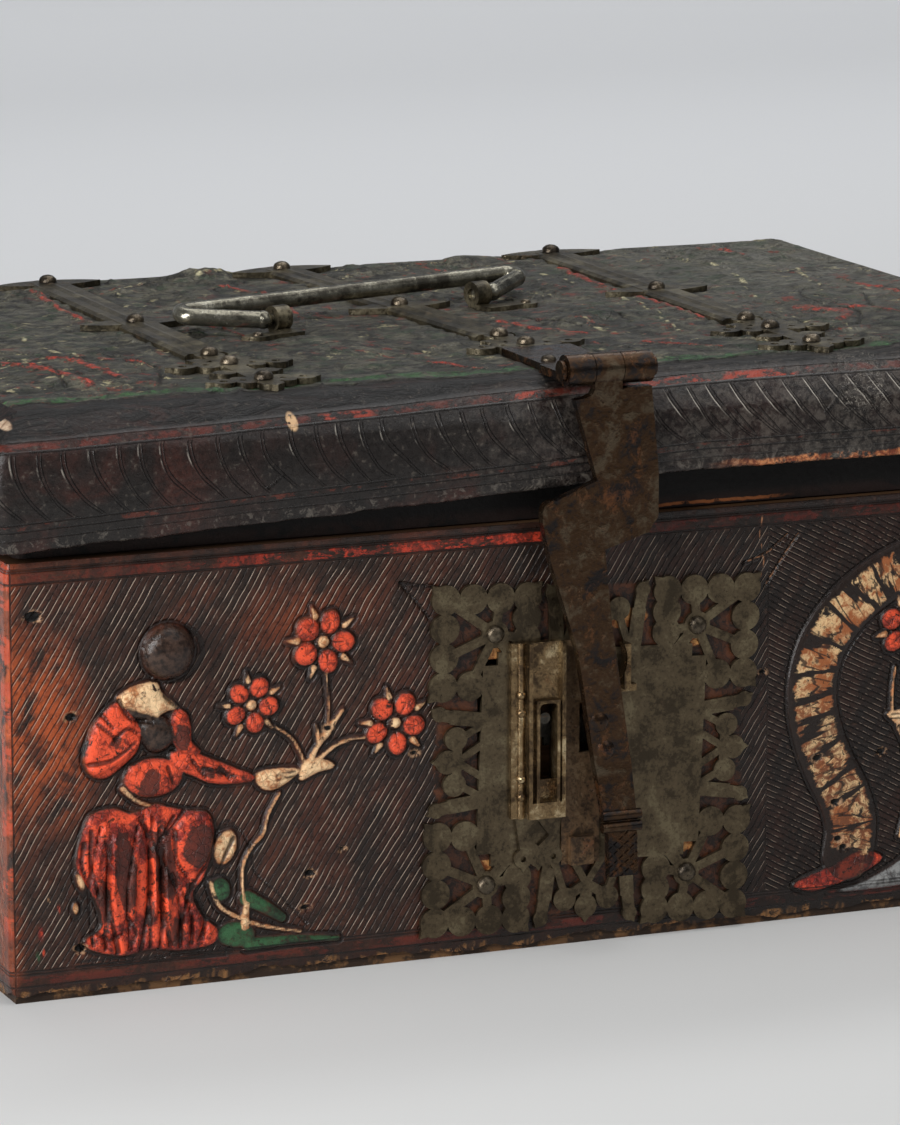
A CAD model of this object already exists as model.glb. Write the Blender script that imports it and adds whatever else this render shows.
# %% [markdown]
# # A leather-covered casket with iron mounts
# The measured model gives every board, strap and hinge its place. This script loads
# that model, gives the iron and wood their surfaces, and builds the tooled, painted
# leather as fine meshes whose relief comes from formulas.

# %% Load the measured model
import bpy
import math
import random
import numpy as np
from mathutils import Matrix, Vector


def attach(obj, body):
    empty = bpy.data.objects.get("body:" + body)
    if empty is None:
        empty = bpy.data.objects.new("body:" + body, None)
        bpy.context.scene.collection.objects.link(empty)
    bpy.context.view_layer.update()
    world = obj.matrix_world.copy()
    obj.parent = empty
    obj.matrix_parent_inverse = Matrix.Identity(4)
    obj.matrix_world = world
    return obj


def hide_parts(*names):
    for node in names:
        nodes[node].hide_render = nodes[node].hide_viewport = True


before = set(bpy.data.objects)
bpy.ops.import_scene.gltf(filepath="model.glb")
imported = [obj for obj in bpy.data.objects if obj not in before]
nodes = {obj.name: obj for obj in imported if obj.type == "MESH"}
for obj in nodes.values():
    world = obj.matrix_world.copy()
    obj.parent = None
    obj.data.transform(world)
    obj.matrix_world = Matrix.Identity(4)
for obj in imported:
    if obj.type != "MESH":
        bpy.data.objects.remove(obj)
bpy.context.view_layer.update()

# %% [markdown]
# ## Sizes shared by all steps
# All of these are in millimetres and in the model's own axes. X runs along the
# front, Y to the back and Z up. The floor is Z = 0.

# %% Named sizes
HALF_LENGTH = 155.0
HALF_DEPTH = 101.5
BODY_TOP = 112.0
SEAM = 112.3
LID_TOP = 149.0
BAND_TOP = 139.5
RIM_LEFT = SEAM + 2.7
RIM_RIGHT = SEAM + 11.0
RIM_BEND = 30.0
RIM_BULGE = 4.6
NECK = -4.0
TOP_INSET = 4.5
MM = 0.001


def lerp(a, b, t):
    return a + (b - a) * t


def ease(v, low, high):
    """0 below low, 1 above high and a smooth ramp between, for arrays too."""
    t = np.clip((np.asarray(v, float) - low) / (high - low), 0.0, 1.0)
    return t * t * (3.0 - 2.0 * t)


def add_object(name, data):
    item = bpy.data.objects.new(name, data)
    bpy.context.scene.collection.objects.link(item)
    return item


def corners_of(mesh, kind):
    """Every corner of a mesh, in millimetres."""
    co = np.zeros(len(mesh.vertices) * 3, kind)
    mesh.vertices.foreach_get("co", co)
    return co.reshape(-1, 3) / MM


print("box", 2 * HALF_LENGTH, "x", 2 * HALF_DEPTH, "x", LID_TOP, "mm")

# %% [markdown]
# ## Writing materials as sums
# A material is a tree of nodes. The small class below wraps one node socket, so a
# formula such as `a * 2 + b` adds the Math nodes by itself.


# %% Sockets that add and multiply
COAT_ROUGHNESS = 0.25


class Value:
    """One output socket, with the usual operators."""

    def __init__(self, graph, socket):
        self.graph = graph
        self.socket = socket

    def __rsub__(self, other):
        return self.graph.math("SUBTRACT", other, self)

    def clip(self):
        return self.graph.smooth(self, 0.0, 1.0, "LINEAR")

    def above(self, low, high):
        return self.graph.smooth(self, low, high)

    def below(self, low, high):
        return 1.0 - self.above(low, high)

    def between(self, a, b, c, d):
        """Rises from a to b and falls from c to d."""
        return self.above(a, b) * self.below(c, d)

    def near(self, middle, low, high):
        """1 within low of the middle, 0 beyond high."""
        return (self - middle).abs().below(low, high)


def operator(operation):
    """A method that adds one Math node."""
    return lambda value, *others: value.graph.math(operation, value, *others)


for names, operation in (
    (("__add__", "__radd__"), "ADD"), (("__mul__", "__rmul__"), "MULTIPLY"),
    (("__sub__",), "SUBTRACT"), (("__truediv__",), "DIVIDE"), (("__pow__",), "POWER"),
    (("abs",), "ABSOLUTE"), (("fract",), "FRACT"), (("most",), "MAXIMUM"),
):
    for name in names:
        setattr(Value, name, operator(operation))


class Graph:
    """A material under construction."""

    def __init__(self, name):
        self.material = bpy.data.materials.new(name)
        self.material.use_nodes = True
        self.tree = self.material.node_tree
        self.tree.nodes.clear()
        self.count = 0

    def plug(self, target, value):
        if isinstance(value, Value):
            self.tree.links.new(value.socket, target)
        elif isinstance(value, tuple):
            target.default_value = (*shade(*value), 1.0)
        else:
            target.default_value = value

    def node(self, kind, settings=None, **links):
        """Adds any node: its settings first, then its inputs by name."""
        made = self.tree.nodes.new(kind)
        made.location = (220 * (self.count % 12), -260 * (self.count // 12))
        self.count += 1
        for key, value in (settings or {}).items():
            setattr(made, key, value)
        for key, value in links.items():
            self.plug(made.inputs[key.replace("_", " ")], value)
        return made

    def math(self, operation, *values):
        made = self.node("ShaderNodeMath", {"operation": operation})
        for socket, value in zip(made.inputs, values):
            self.plug(socket, value)
        return Value(self, made.outputs[0])

    def smooth(self, value, low, high, kind="SMOOTHSTEP"):
        made = self.node("ShaderNodeMapRange", {"interpolation_type": kind, "clamp": True},
                         Value=value, From_Min=low, From_Max=high)
        return Value(self, made.outputs["Result"])

    def attributes(self, *names):
        """The values stored on the mesh under these names."""
        made = [self.node("ShaderNodeAttribute", {"attribute_name": name}) for name in names]
        return [Value(self, node.outputs["Fac"]) for node in made]

    def place(self):
        """Object coordinates in millimetres: the vector, then x, y and z."""
        coords = self.node("ShaderNodeTexCoord").outputs["Object"]
        scaled = self.node("ShaderNodeVectorMath", {"operation": "SCALE"},
                           Vector=Value(self, coords), Scale=1000.0)
        vector = Value(self, scaled.outputs["Vector"])
        split = self.node("ShaderNodeSeparateXYZ", Vector=vector)
        return (vector, *[Value(self, split.outputs[k]) for k in "XYZ"])

    def vector(self, x, y, z):
        made = self.node("ShaderNodeCombineXYZ", X=x, Y=y, Z=z)
        return Value(self, made.outputs[0])

    def noise(self, vector, size, detail, rough=0.55, warp=0.0):
        """Cloudy noise from about 0 to 1, size in millimetres. Takes (x, y, z) too."""
        if isinstance(vector, tuple):
            vector = self.vector(*vector)
        made = self.node("ShaderNodeTexNoise", Vector=vector, Scale=1.0 / size,
                         Detail=detail, Roughness=rough, Distortion=warp)
        return Value(self, made.outputs["Fac"])

    def cells(self, vector, size, feature):
        made = self.node("ShaderNodeTexVoronoi", {"feature": feature},
                         Vector=vector, Scale=1.0 / size, Randomness=1.0)
        return Value(self, made.outputs["Distance"])

    def mix(self, factor, a, b):
        made = self.tree.nodes.new("ShaderNodeMix")
        made.data_type = "RGBA"
        sockets = {s.identifier: s for s in made.inputs}
        self.plug(sockets["Factor_Float"], factor)
        self.plug(sockets["A_Color"], a)
        self.plug(sockets["B_Color"], b)
        out = {s.identifier: s for s in made.outputs}
        return Value(self, out["Result_Color"])

    def layers(self, color, *coats):
        """Lays every (share, colour) over the one before."""
        for share, coat in coats:
            color = self.mix(share, color, coat)
        return color

    def finish(self, color, rough, height=None, depth=0.3, metal=0.0, coat=0.0,
               specular=0.5):
        """Principled surface with a bump, height in millimetres times depth."""
        shader = self.node("ShaderNodeBsdfPrincipled")
        for name, value in (("Base Color", color), ("Roughness", rough), ("Metallic", metal),
                            ("Coat Weight", coat), ("Coat Roughness", COAT_ROUGHNESS),
                            ("Specular IOR Level", specular)):
            self.plug(shader.inputs[name], value)
        if height is not None:
            bump = self.node("ShaderNodeBump", Height=height, Distance=depth * MM)
            self.tree.links.new(bump.outputs["Normal"], shader.inputs["Normal"])
        out = self.node("ShaderNodeOutputMaterial")
        self.tree.links.new(shader.outputs[0], out.inputs["Surface"])
        return self.material


def shade(red, green, blue):
    """A colour given as in a paint program, 0 to 255, for the linear shader."""
    return tuple(((c / 255.0 + 0.055) / 1.055) ** 2.4 if c > 10 else c / 3294.6
                 for c in (red, green, blue))


print("material tools ready")

# %% [markdown]
# ## Wrought iron
# Old iron is never one colour. A grey base carries brown bloom, blue-black patches,
# pits and brighter rubbed spots. One function makes the family, with other shares
# of each for the plate, the straps, the hasp and the handle.


# %% Iron materials
def iron(name, base, dark, light, rust, share, rough, metal, pits, hammer=0.0, speck=1.0):
    """Forged iron: share is how much has a brown bloom, speck how grainy it is."""
    g = Graph(name)
    p = g.place()[0]
    broad = g.noise(p, 13.0, 5.0, 0.62, 0.8)
    cloud = g.noise(p, 4.2, 6.0, 0.68, 0.5)
    fine = g.noise(p, 0.9, 5.0, 0.65)
    grain = g.noise(p, 0.3, 3.0, 0.6)
    tone = broad * 0.50 + cloud * 0.34 + fine * 0.16
    bloom = (cloud * 0.55 + (1.0 - broad) * 0.45 + (fine - 0.5) * 0.30 * speck)
    bloom = bloom.above(0.58 - share, 0.68 - share + (1.0 - speck) * 0.10)
    hole = g.cells(p, 1.5, "F1").below(0.10, 0.34) * cloud.above(0.46, 0.62)
    color = g.layers(
        base,
        (tone.below(0.43, 0.51) * 0.85, dark),
        (tone.above(0.51, 0.60) * 0.60, light),
        (bloom * 0.80, rust),
        (fine.below(0.38, 0.50) * 0.40 * speck, dark),
        (hole * 0.7 * pits, (22, 17, 13)),
    )
    roughness = rough + bloom * 0.14 + (fine - 0.5) * 0.34 * speck + (grain - 0.5) * 0.14
    height = cloud * 0.65 + fine * 0.42 * speck + grain * 0.08 - hole * pits * 0.55
    if hammer:
        height = height + g.cells(p, 5.0, "SMOOTH_F1") * hammer
    return g.finish(color, roughness, height, 0.32, metal=metal - bloom * 0.35)


IRON_PLATE = iron("iron_plate", (90, 78, 60), (54, 46, 35), (126, 115, 90),
                  (84, 62, 42), -0.01, 0.31, 0.80, 0.30, 0.0, 0.5)
IRON_HOUSING = iron("iron_housing", (124, 102, 72), (54, 41, 29),
                    (216, 197, 158), (120, 80, 44), 0.02, 0.19, 0.82, 0.3, 0.0, 0.6)
IRON_STRAP = iron("iron_strap", (92, 84, 67), (46, 42, 33), (158, 148, 122),
                  (84, 66, 46), 0.01, 0.34, 0.72, 0.5, 0.3)
IRON_HASP = iron("iron_hasp", (66, 47, 31), (33, 34, 36), (98, 88, 72),
                 (106, 62, 28), 0.06, 0.24, 0.86, 0.2, 0.35, 0.4)
IRON_HANDLE = iron("iron_handle", (134, 130, 116), (74, 70, 62),
                   (192, 188, 174), (120, 104, 84), -0.03, 0.24, 0.86, 0.1, 0.25, 0.25)
IRON_NAIL = iron("iron_nail", (88, 78, 64), (44, 38, 32), (136, 124, 106),
                 (90, 66, 44), 0.00, 0.30, 0.80, 0.3, 0.0, 0.6)
IRON_LOCK = iron("iron_lock", (96, 92, 84), (56, 54, 50), (120, 114, 104),
                 (92, 70, 48), 0.04, 0.45, 0.70, 0.6)
IRON_BED = iron("iron_bed", (106, 82, 58), (50, 38, 28), (146, 122, 92),
                (98, 60, 34), 0.04, 0.42, 0.50, 0.8)
print("iron materials:", sum(m.name.startswith("iron_") for m in bpy.data.materials))

# %% [markdown]
# ## Oak and pegs
# The boards show inside the casket and along the worn lower edge. The grain runs along
# X in the boards and along Z in the pegs, so the noise is stretched that way.


# %% Wood materials
def oak(name, light, dark, stretch):
    g = Graph(name)
    p, x, y, z = g.place()
    along = {"x": (x * 0.06, y, z), "z": (x, y, z * 0.06)}[stretch]
    grain = g.noise(along, 1.6, 5.0, 0.62, 0.5)
    rings = g.noise(along, 9.0, 3.0, 0.5, 1.2)
    fine = g.noise(p, 0.5, 3.0)
    tone = (grain * 0.6 + rings * 0.4).above(0.36, 0.68)
    stain = g.noise(p, 30.0, 3.0).above(0.55, 0.75)
    patch = g.noise(p, 7.0, 4.0, 0.7).below(0.46, 0.58)
    color = g.layers(
        dark,
        (tone, light),
        (stain * 0.4, (66, 44, 28)),
        (z.below(3.6, 5.0) * (0.20 + patch * 0.72), (34, 23, 16)),
        (z.between(109.0, 111.0, 118.0, 120.0) * 0.62, (40, 27, 18)),
    )
    height = grain * 0.5 + fine * 0.12
    return g.finish(color, 0.62 + (fine - 0.5) * 0.2, height, 0.35, specular=0.35)


OAK = oak("oak", (134, 97, 60), (88, 58, 33), "x")
PEG = oak("peg_wood", (138, 96, 58), (80, 52, 30), "z")
print("wood materials: 2")

# %% [markdown]
# ## Giving the model's nodes their surfaces
# Every iron piece keeps its measured mesh. A narrow bevel modifier breaks the hard
# edges, so that they catch light as worn iron does.

# %% Dress the measured pieces
IRON_OF = {
    "lock_plate": (IRON_PLATE, 0.75),
    "keyhole_housing": (IRON_HOUSING, 0.45), "beaded_strip": (IRON_HOUSING, 0.0),
    "key_pin": (IRON_LOCK, 0.0), "pendant": (IRON_PLATE, 0.2),
    "hasp_bed": (IRON_BED, 0.2), "guide_lug": (IRON_HOUSING, 0.3),
    "lock_bolt": (IRON_LOCK, 0.15), "bolt_guide": (IRON_LOCK, 0.15),
    "lock_spring": (IRON_LOCK, 0.0), "spring_post": (IRON_LOCK, 0.15),
    "strap_left": (IRON_STRAP, 0.30), "strap_middle": (IRON_STRAP, 0.30),
    "strap_right": (IRON_STRAP, 0.30),
    "hasp_bracket": (IRON_HASP, 0.50), "hasp_pin": (IRON_HASP, 0.25),
    "hasp_plate": (IRON_HASP, 0.70), "hasp_staple": (IRON_HASP, 0.2),
    "handle": (IRON_HANDLE, 0.0), "handle_staples": (IRON_STRAP, 0.25),
    "hinge_case_leaves": (IRON_STRAP, 0.25), "hinge_lid_leaves": (IRON_STRAP, 0.25),
    "hinge_pins": (IRON_HANDLE, 0.15),
}
WORN_ANGLE = math.radians(38)
WOOD_BEVEL = 0.4
WOOD = ["front_board", "back_board", "left_board", "right_board", "bottom_board",
        "lid_panel", "lid_rail_front", "lid_rail_back", "lid_rail_left", "lid_rail_right"]


def dress(node, material, bevel=0.0):
    item = nodes[node]
    item.data.materials.clear()
    item.data.materials.append(material)
    if bevel:
        edge = item.modifiers.new("worn_edges", "BEVEL")
        edge.width = bevel * MM
        edge.segments = 2
        edge.limit_method = "ANGLE"
        edge.angle_limit = WORN_ANGLE
        edge.use_clamp_overlap = True
        edge.harden_normals = False


for node, (material, bevel) in IRON_OF.items():
    dress(node, material, bevel)
for node in WOOD:
    dress(node, OAK, WOOD_BEVEL)
dress("case_pegs", PEG)
print("dressed", len(IRON_OF) + len(WOOD) + 1, "nodes")

# %% [markdown]
# ## One forged nail head
# A smith's nail head is a low dome with uneven facets. The rings below are turned round
# the axis with small seeded errors in radius and height.

# %% Shape of a nail head
HEAD_SIDES, HEAD_RINGS = 11, 4
HEAD_SKIRT = -0.12
WIDE_ARC, HIGH_ARC = 0.86, 0.92
LEAST_RADIUS, LEAST_HEIGHT = 0.93, 0.94
FACET_ANGLE = math.radians(34)


def forged_head(sides, rings):
    """A dome of radius 1 and height 1, with its skirt a little below zero."""
    uneven = np.random.default_rng(23)
    corners = []
    for k in range(rings + 1):
        f = k / rings
        radius = math.cos(f * math.pi / 2 * WIDE_ARC)
        height = math.sin(f * math.pi / 2 * HIGH_ARC) if k else HEAD_SKIRT
        for j in range(sides):
            a = 2 * math.pi * (j + 0.5 * (k % 2)) / sides
            r = radius * uneven.uniform(LEAST_RADIUS, 1.0)
            corners.append((r * math.cos(a), r * math.sin(a),
                            height * uneven.uniform(LEAST_HEIGHT, 1.0)))
    corners.append((0.0, 0.0, 1.0))
    faces = []
    for k in range(rings):
        for j in range(sides):
            a, b = k * sides + j, k * sides + (j + 1) % sides
            c, d = a + sides, b + sides
            faces += [(a, b, c), (b, d, c)] if k % 2 == 0 else [(a, b, d), (a, d, c)]
    last = rings * sides
    faces += [(last + j, last + (j + 1) % sides, len(corners) - 1) for j in range(sides)]
    mesh = bpy.data.meshes.new("forged_head")
    mesh.from_pydata(corners, [], faces)
    mesh.validate()
    mesh.polygons.foreach_set("use_smooth", [True] * len(mesh.polygons))
    mesh.set_sharp_from_angle(angle=FACET_ANGLE)
    return bpy.data.objects.new("forged_head", mesh)


HEAD = forged_head(HEAD_SIDES, HEAD_RINGS)
print("head faces:", len(HEAD.data.polygons))

# %% [markdown]
# ## Where the nails are
# Each nail of the measured model has a round head. The loose parts of a node's mesh are
# found first. The parts that are wide and low are the heads, and their middles and
# sizes become points for the next step.

# %% Find the heads
HEAD_LOW, HEAD_HIGH, HEAD_WIDE = 0.5, 2.5, 3.0


def loose_parts(mesh):
    """The corner positions of each connected part, in millimetres."""
    co = corners_of(mesh, float)
    ends = np.zeros(len(mesh.edges) * 2, int)
    mesh.edges.foreach_get("vertices", ends)
    ends = ends.reshape(-1, 2)
    label = np.arange(len(co))
    while True:
        low = np.minimum(label[ends[:, 0]], label[ends[:, 1]])
        new = label.copy()
        np.minimum.at(new, ends[:, 0], low)
        np.minimum.at(new, ends[:, 1], low)
        if (new == label).all():
            return [co[label == k] for k in np.unique(label)]
        label = new


def heads(node, axis, sign):
    """Base middle, size and turn of every head that points along sign times axis."""
    found = []
    for part in loose_parts(nodes[node].data):
        low, high = part.min(0), part.max(0)
        extent = high - low
        across = np.delete(extent, axis)
        if HEAD_LOW < extent[axis] < HEAD_HIGH and across.min() > HEAD_WIDE:
            base = (low + high) / 2
            base[axis] = low[axis] if sign > 0 else high[axis]
            found.append((base, (across.mean() / 2, across.mean() / 2, extent[axis])))
    turn = {2: (0.0, 0.0, 0.0), 1: (math.radians(-90 * sign), 0.0, 0.0)}[axis]
    print(node, len(found), "heads")
    return [(base, size, turn) for base, size in found]


LID_HEADS = heads("strap_nails", 2, 1) + heads("hinge_lid_nails", 1, 1)
CASE_HEADS = heads("plate_nails", 1, -1) + heads("hinge_case_nails", 1, 1)

# %% [markdown]
# ## A node tree that drives the nails in
# Geometry Nodes put one head on every point. Named attributes give each head its size
# and direction, and two seeded random values spin it and make it a little uneven.

# %% Build the nail tree
NAIL_UNEVEN = 0.06


def nail_tree():
    tree = bpy.data.node_groups.new("drive_nails", "GeometryNodeTree")
    sockets = {name: tree.interface.new_socket(name=name, in_out="INPUT",
                                               socket_type="NodeSocket" + kind)
               for name, kind in (("Points", "Geometry"), ("Head", "Object"),
                                  ("Finish", "Material"), ("Uneven", "Float"),
                                  ("Seed", "Int"))}
    sockets["Uneven"].default_value = NAIL_UNEVEN
    names = {name: socket.identifier for name, socket in sockets.items()}
    tree.interface.new_socket(name="Nails", in_out="OUTPUT", socket_type="NodeSocketGeometry")

    def add(kind, inputs, **settings):
        """A node with its settings. Its inputs take sockets or plain values."""
        made = tree.nodes.new(kind)
        for key, value in settings.items():
            setattr(made, key, value)
        for key, value in inputs.items():
            if isinstance(value, bpy.types.NodeSocket):
                tree.links.new(value, made.inputs[key])
            else:
                made.inputs[key].default_value = value
        return made.outputs

    entry = add("NodeGroupInput", {})
    head = add("GeometryNodeObjectInfo", {"Object": entry["Head"]})
    size, turn = (add("GeometryNodeInputNamedAttribute", {"Name": name},
                      data_type="FLOAT_VECTOR")[0] for name in ("size", "turn"))
    least = add("ShaderNodeMath", {0: 1.0, 1: entry["Uneven"]}, operation="SUBTRACT")
    share = add("FunctionNodeRandomValue", {2: least[0], 3: 1.0, "Seed": entry["Seed"]},
                data_type="FLOAT")
    scaled = add("ShaderNodeVectorMath", {0: size, "Scale": share[1]}, operation="SCALE")
    face = add("FunctionNodeEulerToRotation", {0: turn})
    place = add("GeometryNodeInstanceOnPoints",
                {"Points": entry["Points"], "Instance": head["Geometry"],
                 "Rotation": face[0], "Scale": scaled[0]})
    angle = add("FunctionNodeRandomValue", {3: 2 * math.pi, "Seed": entry["Seed"]},
                data_type="FLOAT")
    about = add("ShaderNodeCombineXYZ", {"Z": angle[1]})
    spin = add("GeometryNodeRotateInstances", {"Instances": place[0], "Rotation": about[0]})
    real = add("GeometryNodeRealizeInstances", {0: spin[0]})
    paint = add("GeometryNodeSetMaterial", {"Geometry": real[0], "Material": entry["Finish"]})
    add("NodeGroupOutput", {0: paint[0]})
    for k, node in enumerate(tree.nodes):
        node.location = (230 * (k % 6), -220 * (k // 6))
    return tree, names


NAIL_TREE, NAIL_INPUTS = nail_tree()
print("nail tree:", len(NAIL_TREE.nodes), "nodes")

# %% [markdown]
# ## Nails on the lid and on the case
# The points become a small mesh with the two attributes. The tree's result is turned
# into a plain mesh, one for each moving body.

# %% Drive the nails
def drive_nails(name, spots, body, replaced, seed):
    points = bpy.data.meshes.new(name + "_points")
    points.from_pydata([tuple(base * MM) for base, _, _ in spots], [], [])
    for field, values in (("size", [np.array(size) * MM for _, size, _ in spots]),
                          ("turn", [turn for _, _, turn in spots])):
        layer = points.attributes.new(field, "FLOAT_VECTOR", "POINT")
        layer.data.foreach_set("vector", np.array(values, np.float32).ravel())
    source = add_object(name + "_source", points)
    drive = source.modifiers.new("drive", "NODES")
    drive.node_group = NAIL_TREE
    for key, value in (("Head", HEAD), ("Finish", IRON_NAIL), ("Seed", seed)):
        drive[NAIL_INPUTS[key]] = value
    view = bpy.context.evaluated_depsgraph_get()
    mesh = bpy.data.meshes.new_from_object(source.evaluated_get(view), depsgraph=view)
    mesh.name = name
    for field in ("size", "turn"):
        if field in mesh.attributes:
            mesh.attributes.remove(mesh.attributes[field])
    bpy.data.objects.remove(source)
    item = add_object(name, mesh)
    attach(item, body)
    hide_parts(*replaced)
    print(name, len(mesh.polygons), "faces")


drive_nails("nails_on_lid", LID_HEADS, "lid", ["strap_nails", "hinge_lid_nails"], 7)
drive_nails("nails_on_case", CASE_HEADS, "case", ["plate_nails", "hinge_case_nails"], 12)

# %% [markdown]
# ## Drawing with distances
# Each painted or embossed shape is a signed distance, positive inside, worked out at
# every point of a fine grid. A distance can be turned into a bulge for the relief and
# is also stored on the mesh, where the material cuts a crisp edge from it.

# %% Distance drawing
FAR = -6.0
CURVE_STEPS, OUTLINE_STEPS = 7, 6
TILE = 97
CLOUD_SHIFT = (31.7, 17.3)


def smooth_path(points, steps, closed=False):
    """A Catmull-Rom curve through the points."""
    pts = np.array(points, float)
    count = len(pts)
    out = []
    for i in range(count if closed else count - 1):
        if closed:
            a, b, c, d = (pts[(i + k) % count] for k in (-1, 0, 1, 2))
        else:
            a, b, c, d = (pts[min(max(i + k, 0), count - 1)] for k in (-1, 0, 1, 2))
        for t in np.arange(steps) / steps:
            out.append(0.5 * (2 * b + (c - a) * t + (2 * a - 5 * b + 4 * c - d) * t * t
                              + (3 * b - a - 3 * c + d) * t ** 3))
    if not closed:
        out.append(pts[-1])
    return np.array(out)


class Sheet:
    """Points (u, v) in millimetres that shapes are drawn on."""

    def __init__(self, u, v):
        self.u = u
        self.v = v

    def mirrored(self, about):
        return Sheet(2 * about - self.u, self.v)

    def near(self, points, reach=-FAR):
        low = points.min(0) - reach
        high = points.max(0) + reach
        return ((self.u > low[0]) & (self.u < high[0])
                & (self.v > low[1]) & (self.v < high[1]))

    def blob(self, cu, cv, ru, rv, turn=0.0):
        c, s = math.cos(math.radians(turn)), math.sin(math.radians(turn))
        du, dv = self.u - cu, self.v - cv
        return np.maximum(FAR, (1.0 - np.hypot((du * c + dv * s) / ru, (dv * c - du * s) / rv))
                          * min(ru, rv))

    def stroke(self, points, start, end=None):
        """A line that narrows from half-width start to half-width end."""
        return self.ribbon(points, start, end)[0]

    def ribbon(self, points, start, end=None):
        """The stroke's distance, the length along it and the place across it."""
        end = start if end is None else end
        path = smooth_path(points, CURVE_STEPS)
        best = np.full(self.u.shape, FAR)
        along = np.zeros(self.u.shape)
        across = np.zeros(self.u.shape)
        inside = self.near(path, max(start, end) - FAR)
        u, v = self.u[inside], self.v[inside]
        far, where, side = best[inside], along[inside], across[inside]
        lengths = np.hypot(*np.diff(path, axis=0).T)
        total = lengths.sum()
        done = 0.0
        for (au, av), (bu, bv), length in zip(path[:-1], path[1:], lengths):
            if length < 1e-6:
                continue
            eu, ev = (bu - au) / length, (bv - av) / length
            t = np.clip((u - au) * eu + (v - av) * ev, 0.0, length)
            gap = np.hypot(u - au - eu * t, v - av - ev * t)
            width = lerp(start, end, (done + t) / total)
            d = width - gap
            better = d > far
            far[better] = d[better]
            where[better] = (done + t)[better]
            side[better] = (((v - av) * eu - (u - au) * ev) / width)[better]
            done += length
        best[inside], along[inside], across[inside] = far, where, side
        return best, along, across

    def patch(self, points):
        """A closed, rounded outline."""
        path = smooth_path(points, OUTLINE_STEPS, closed=True)
        out = np.full(self.u.shape, FAR)
        inside = self.near(path)
        u, v = self.u[inside], self.v[inside]
        gap = np.full(u.shape, 1e9)
        within = np.zeros(u.shape, bool)
        for (au, av), (bu, bv) in zip(path, np.roll(path, -1, axis=0)):
            du, dv = bu - au, bv - av
            t = np.clip(((u - au) * du + (v - av) * dv) / (du * du + dv * dv + 1e-12), 0, 1)
            gap = np.minimum(gap, np.hypot(u - au - du * t, v - av - dv * t))
            if dv != 0:
                cross = (av > v) != (bv > v)
                within ^= cross & (u < au + (v - av) * du / dv)
        out[inside] = np.maximum(FAR, np.where(within, gap, -gap))
        return out


def bulge(distance, width, height):
    """A rounded pillow that rises over width from the shape's edge."""
    t = np.clip(distance / width, 0.0, 1.0)
    return height * np.sqrt(1.0 - (1.0 - t) ** 2)


def clouds(u, v, size, seed, octaves=3):
    """Smooth random hills from -1 to 1."""
    total = np.zeros(np.shape(u))
    weight = 0.0
    for octave in range(octaves):
        grid = np.random.default_rng(seed + octave).uniform(-1, 1, (TILE, TILE))
        a = np.asarray(u) / size * 2 ** octave + CLOUD_SHIFT[0]
        b = np.asarray(v) / size * 2 ** octave + CLOUD_SHIFT[1]
        i, j = np.floor(a).astype(int), np.floor(b).astype(int)
        fa, fb = a - i, b - j
        fa, fb = fa * fa * (3 - 2 * fa), fb * fb * (3 - 2 * fb)
        i, j, k, m = i % TILE, j % TILE, (i + 1) % TILE, (j + 1) % TILE
        total += 0.5 ** octave * ((grid[i, j] * (1 - fa) + grid[k, j] * fa) * (1 - fb)
                                  + (grid[i, m] * (1 - fa) + grid[k, m] * fa) * fb)
        weight += 0.5 ** octave
    return total / weight


print("drawing tools ready")

# %% [markdown]
# ## From a grid to a leather skin
# The helper takes a grid of points in space, leaves out the cells that a mask drops,
# and folds every free edge inward, so that the leather shows its thickness.


# %% Skins
CREASE_ANGLE = math.radians(62)


def skin(name, points, inner, material, fields, keep=None):
    """A mesh from a (rows, columns, 3) grid, with a folded edge towards inner."""
    rows, cols = points.shape[:2]
    keep = np.ones((rows - 1, cols - 1), bool) if keep is None else keep
    number = np.arange(rows * cols).reshape(rows, cols)
    quads = np.stack([number[:-1, :-1], number[:-1, 1:], number[1:, 1:], number[1:, :-1]],
                     -1)[keep]
    pairs = np.concatenate([quads[:, [k, (k + 1) % 4]] for k in range(4)])
    key = np.sort(pairs, axis=1)
    order = key[:, 0] * (rows * cols) + key[:, 1]
    _, first, count = np.unique(order, return_index=True, return_counts=True)
    free = pairs[first[count == 1]]
    rim = np.unique(free)
    flat = points.reshape(-1, 3)
    lookup = np.full(rows * cols, -1)
    lookup[rim] = rows * cols + np.arange(len(rim))
    every = np.concatenate([flat, inner.reshape(-1, 3)[rim]])
    fold = np.stack([free[:, 1], free[:, 0], lookup[free[:, 0]], lookup[free[:, 1]]], -1)
    faces = np.concatenate([quads, fold])
    used = np.unique(faces)
    back = np.full(len(every), -1)
    back[used] = np.arange(len(used))
    origin = np.concatenate([np.arange(rows * cols), rim])[used]
    mesh = bpy.data.meshes.new(name)
    mesh.vertices.add(len(used))
    mesh.vertices.foreach_set("co", (every[used] * MM).astype(np.float32).ravel())
    mesh.loops.add(faces.size)
    mesh.loops.foreach_set("vertex_index", back[faces].astype(np.int32).ravel())
    mesh.polygons.add(len(faces))
    mesh.polygons.foreach_set("loop_start", np.arange(0, faces.size, 4, dtype=np.int32))
    mesh.update(calc_edges=True)
    mesh.validate()
    for field, values in fields.items():
        layer = mesh.attributes.new(field, "FLOAT", "POINT")
        layer.data.foreach_set("value", values.ravel()[origin].astype(np.float32))
    mesh.polygons.foreach_set("use_smooth", np.ones(len(faces), bool))
    mesh.set_sharp_from_angle(angle=CREASE_ANGLE)
    mesh.materials.append(material)
    print(f"{name}: {len(faces)} faces")
    return add_object(name, mesh)


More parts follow.
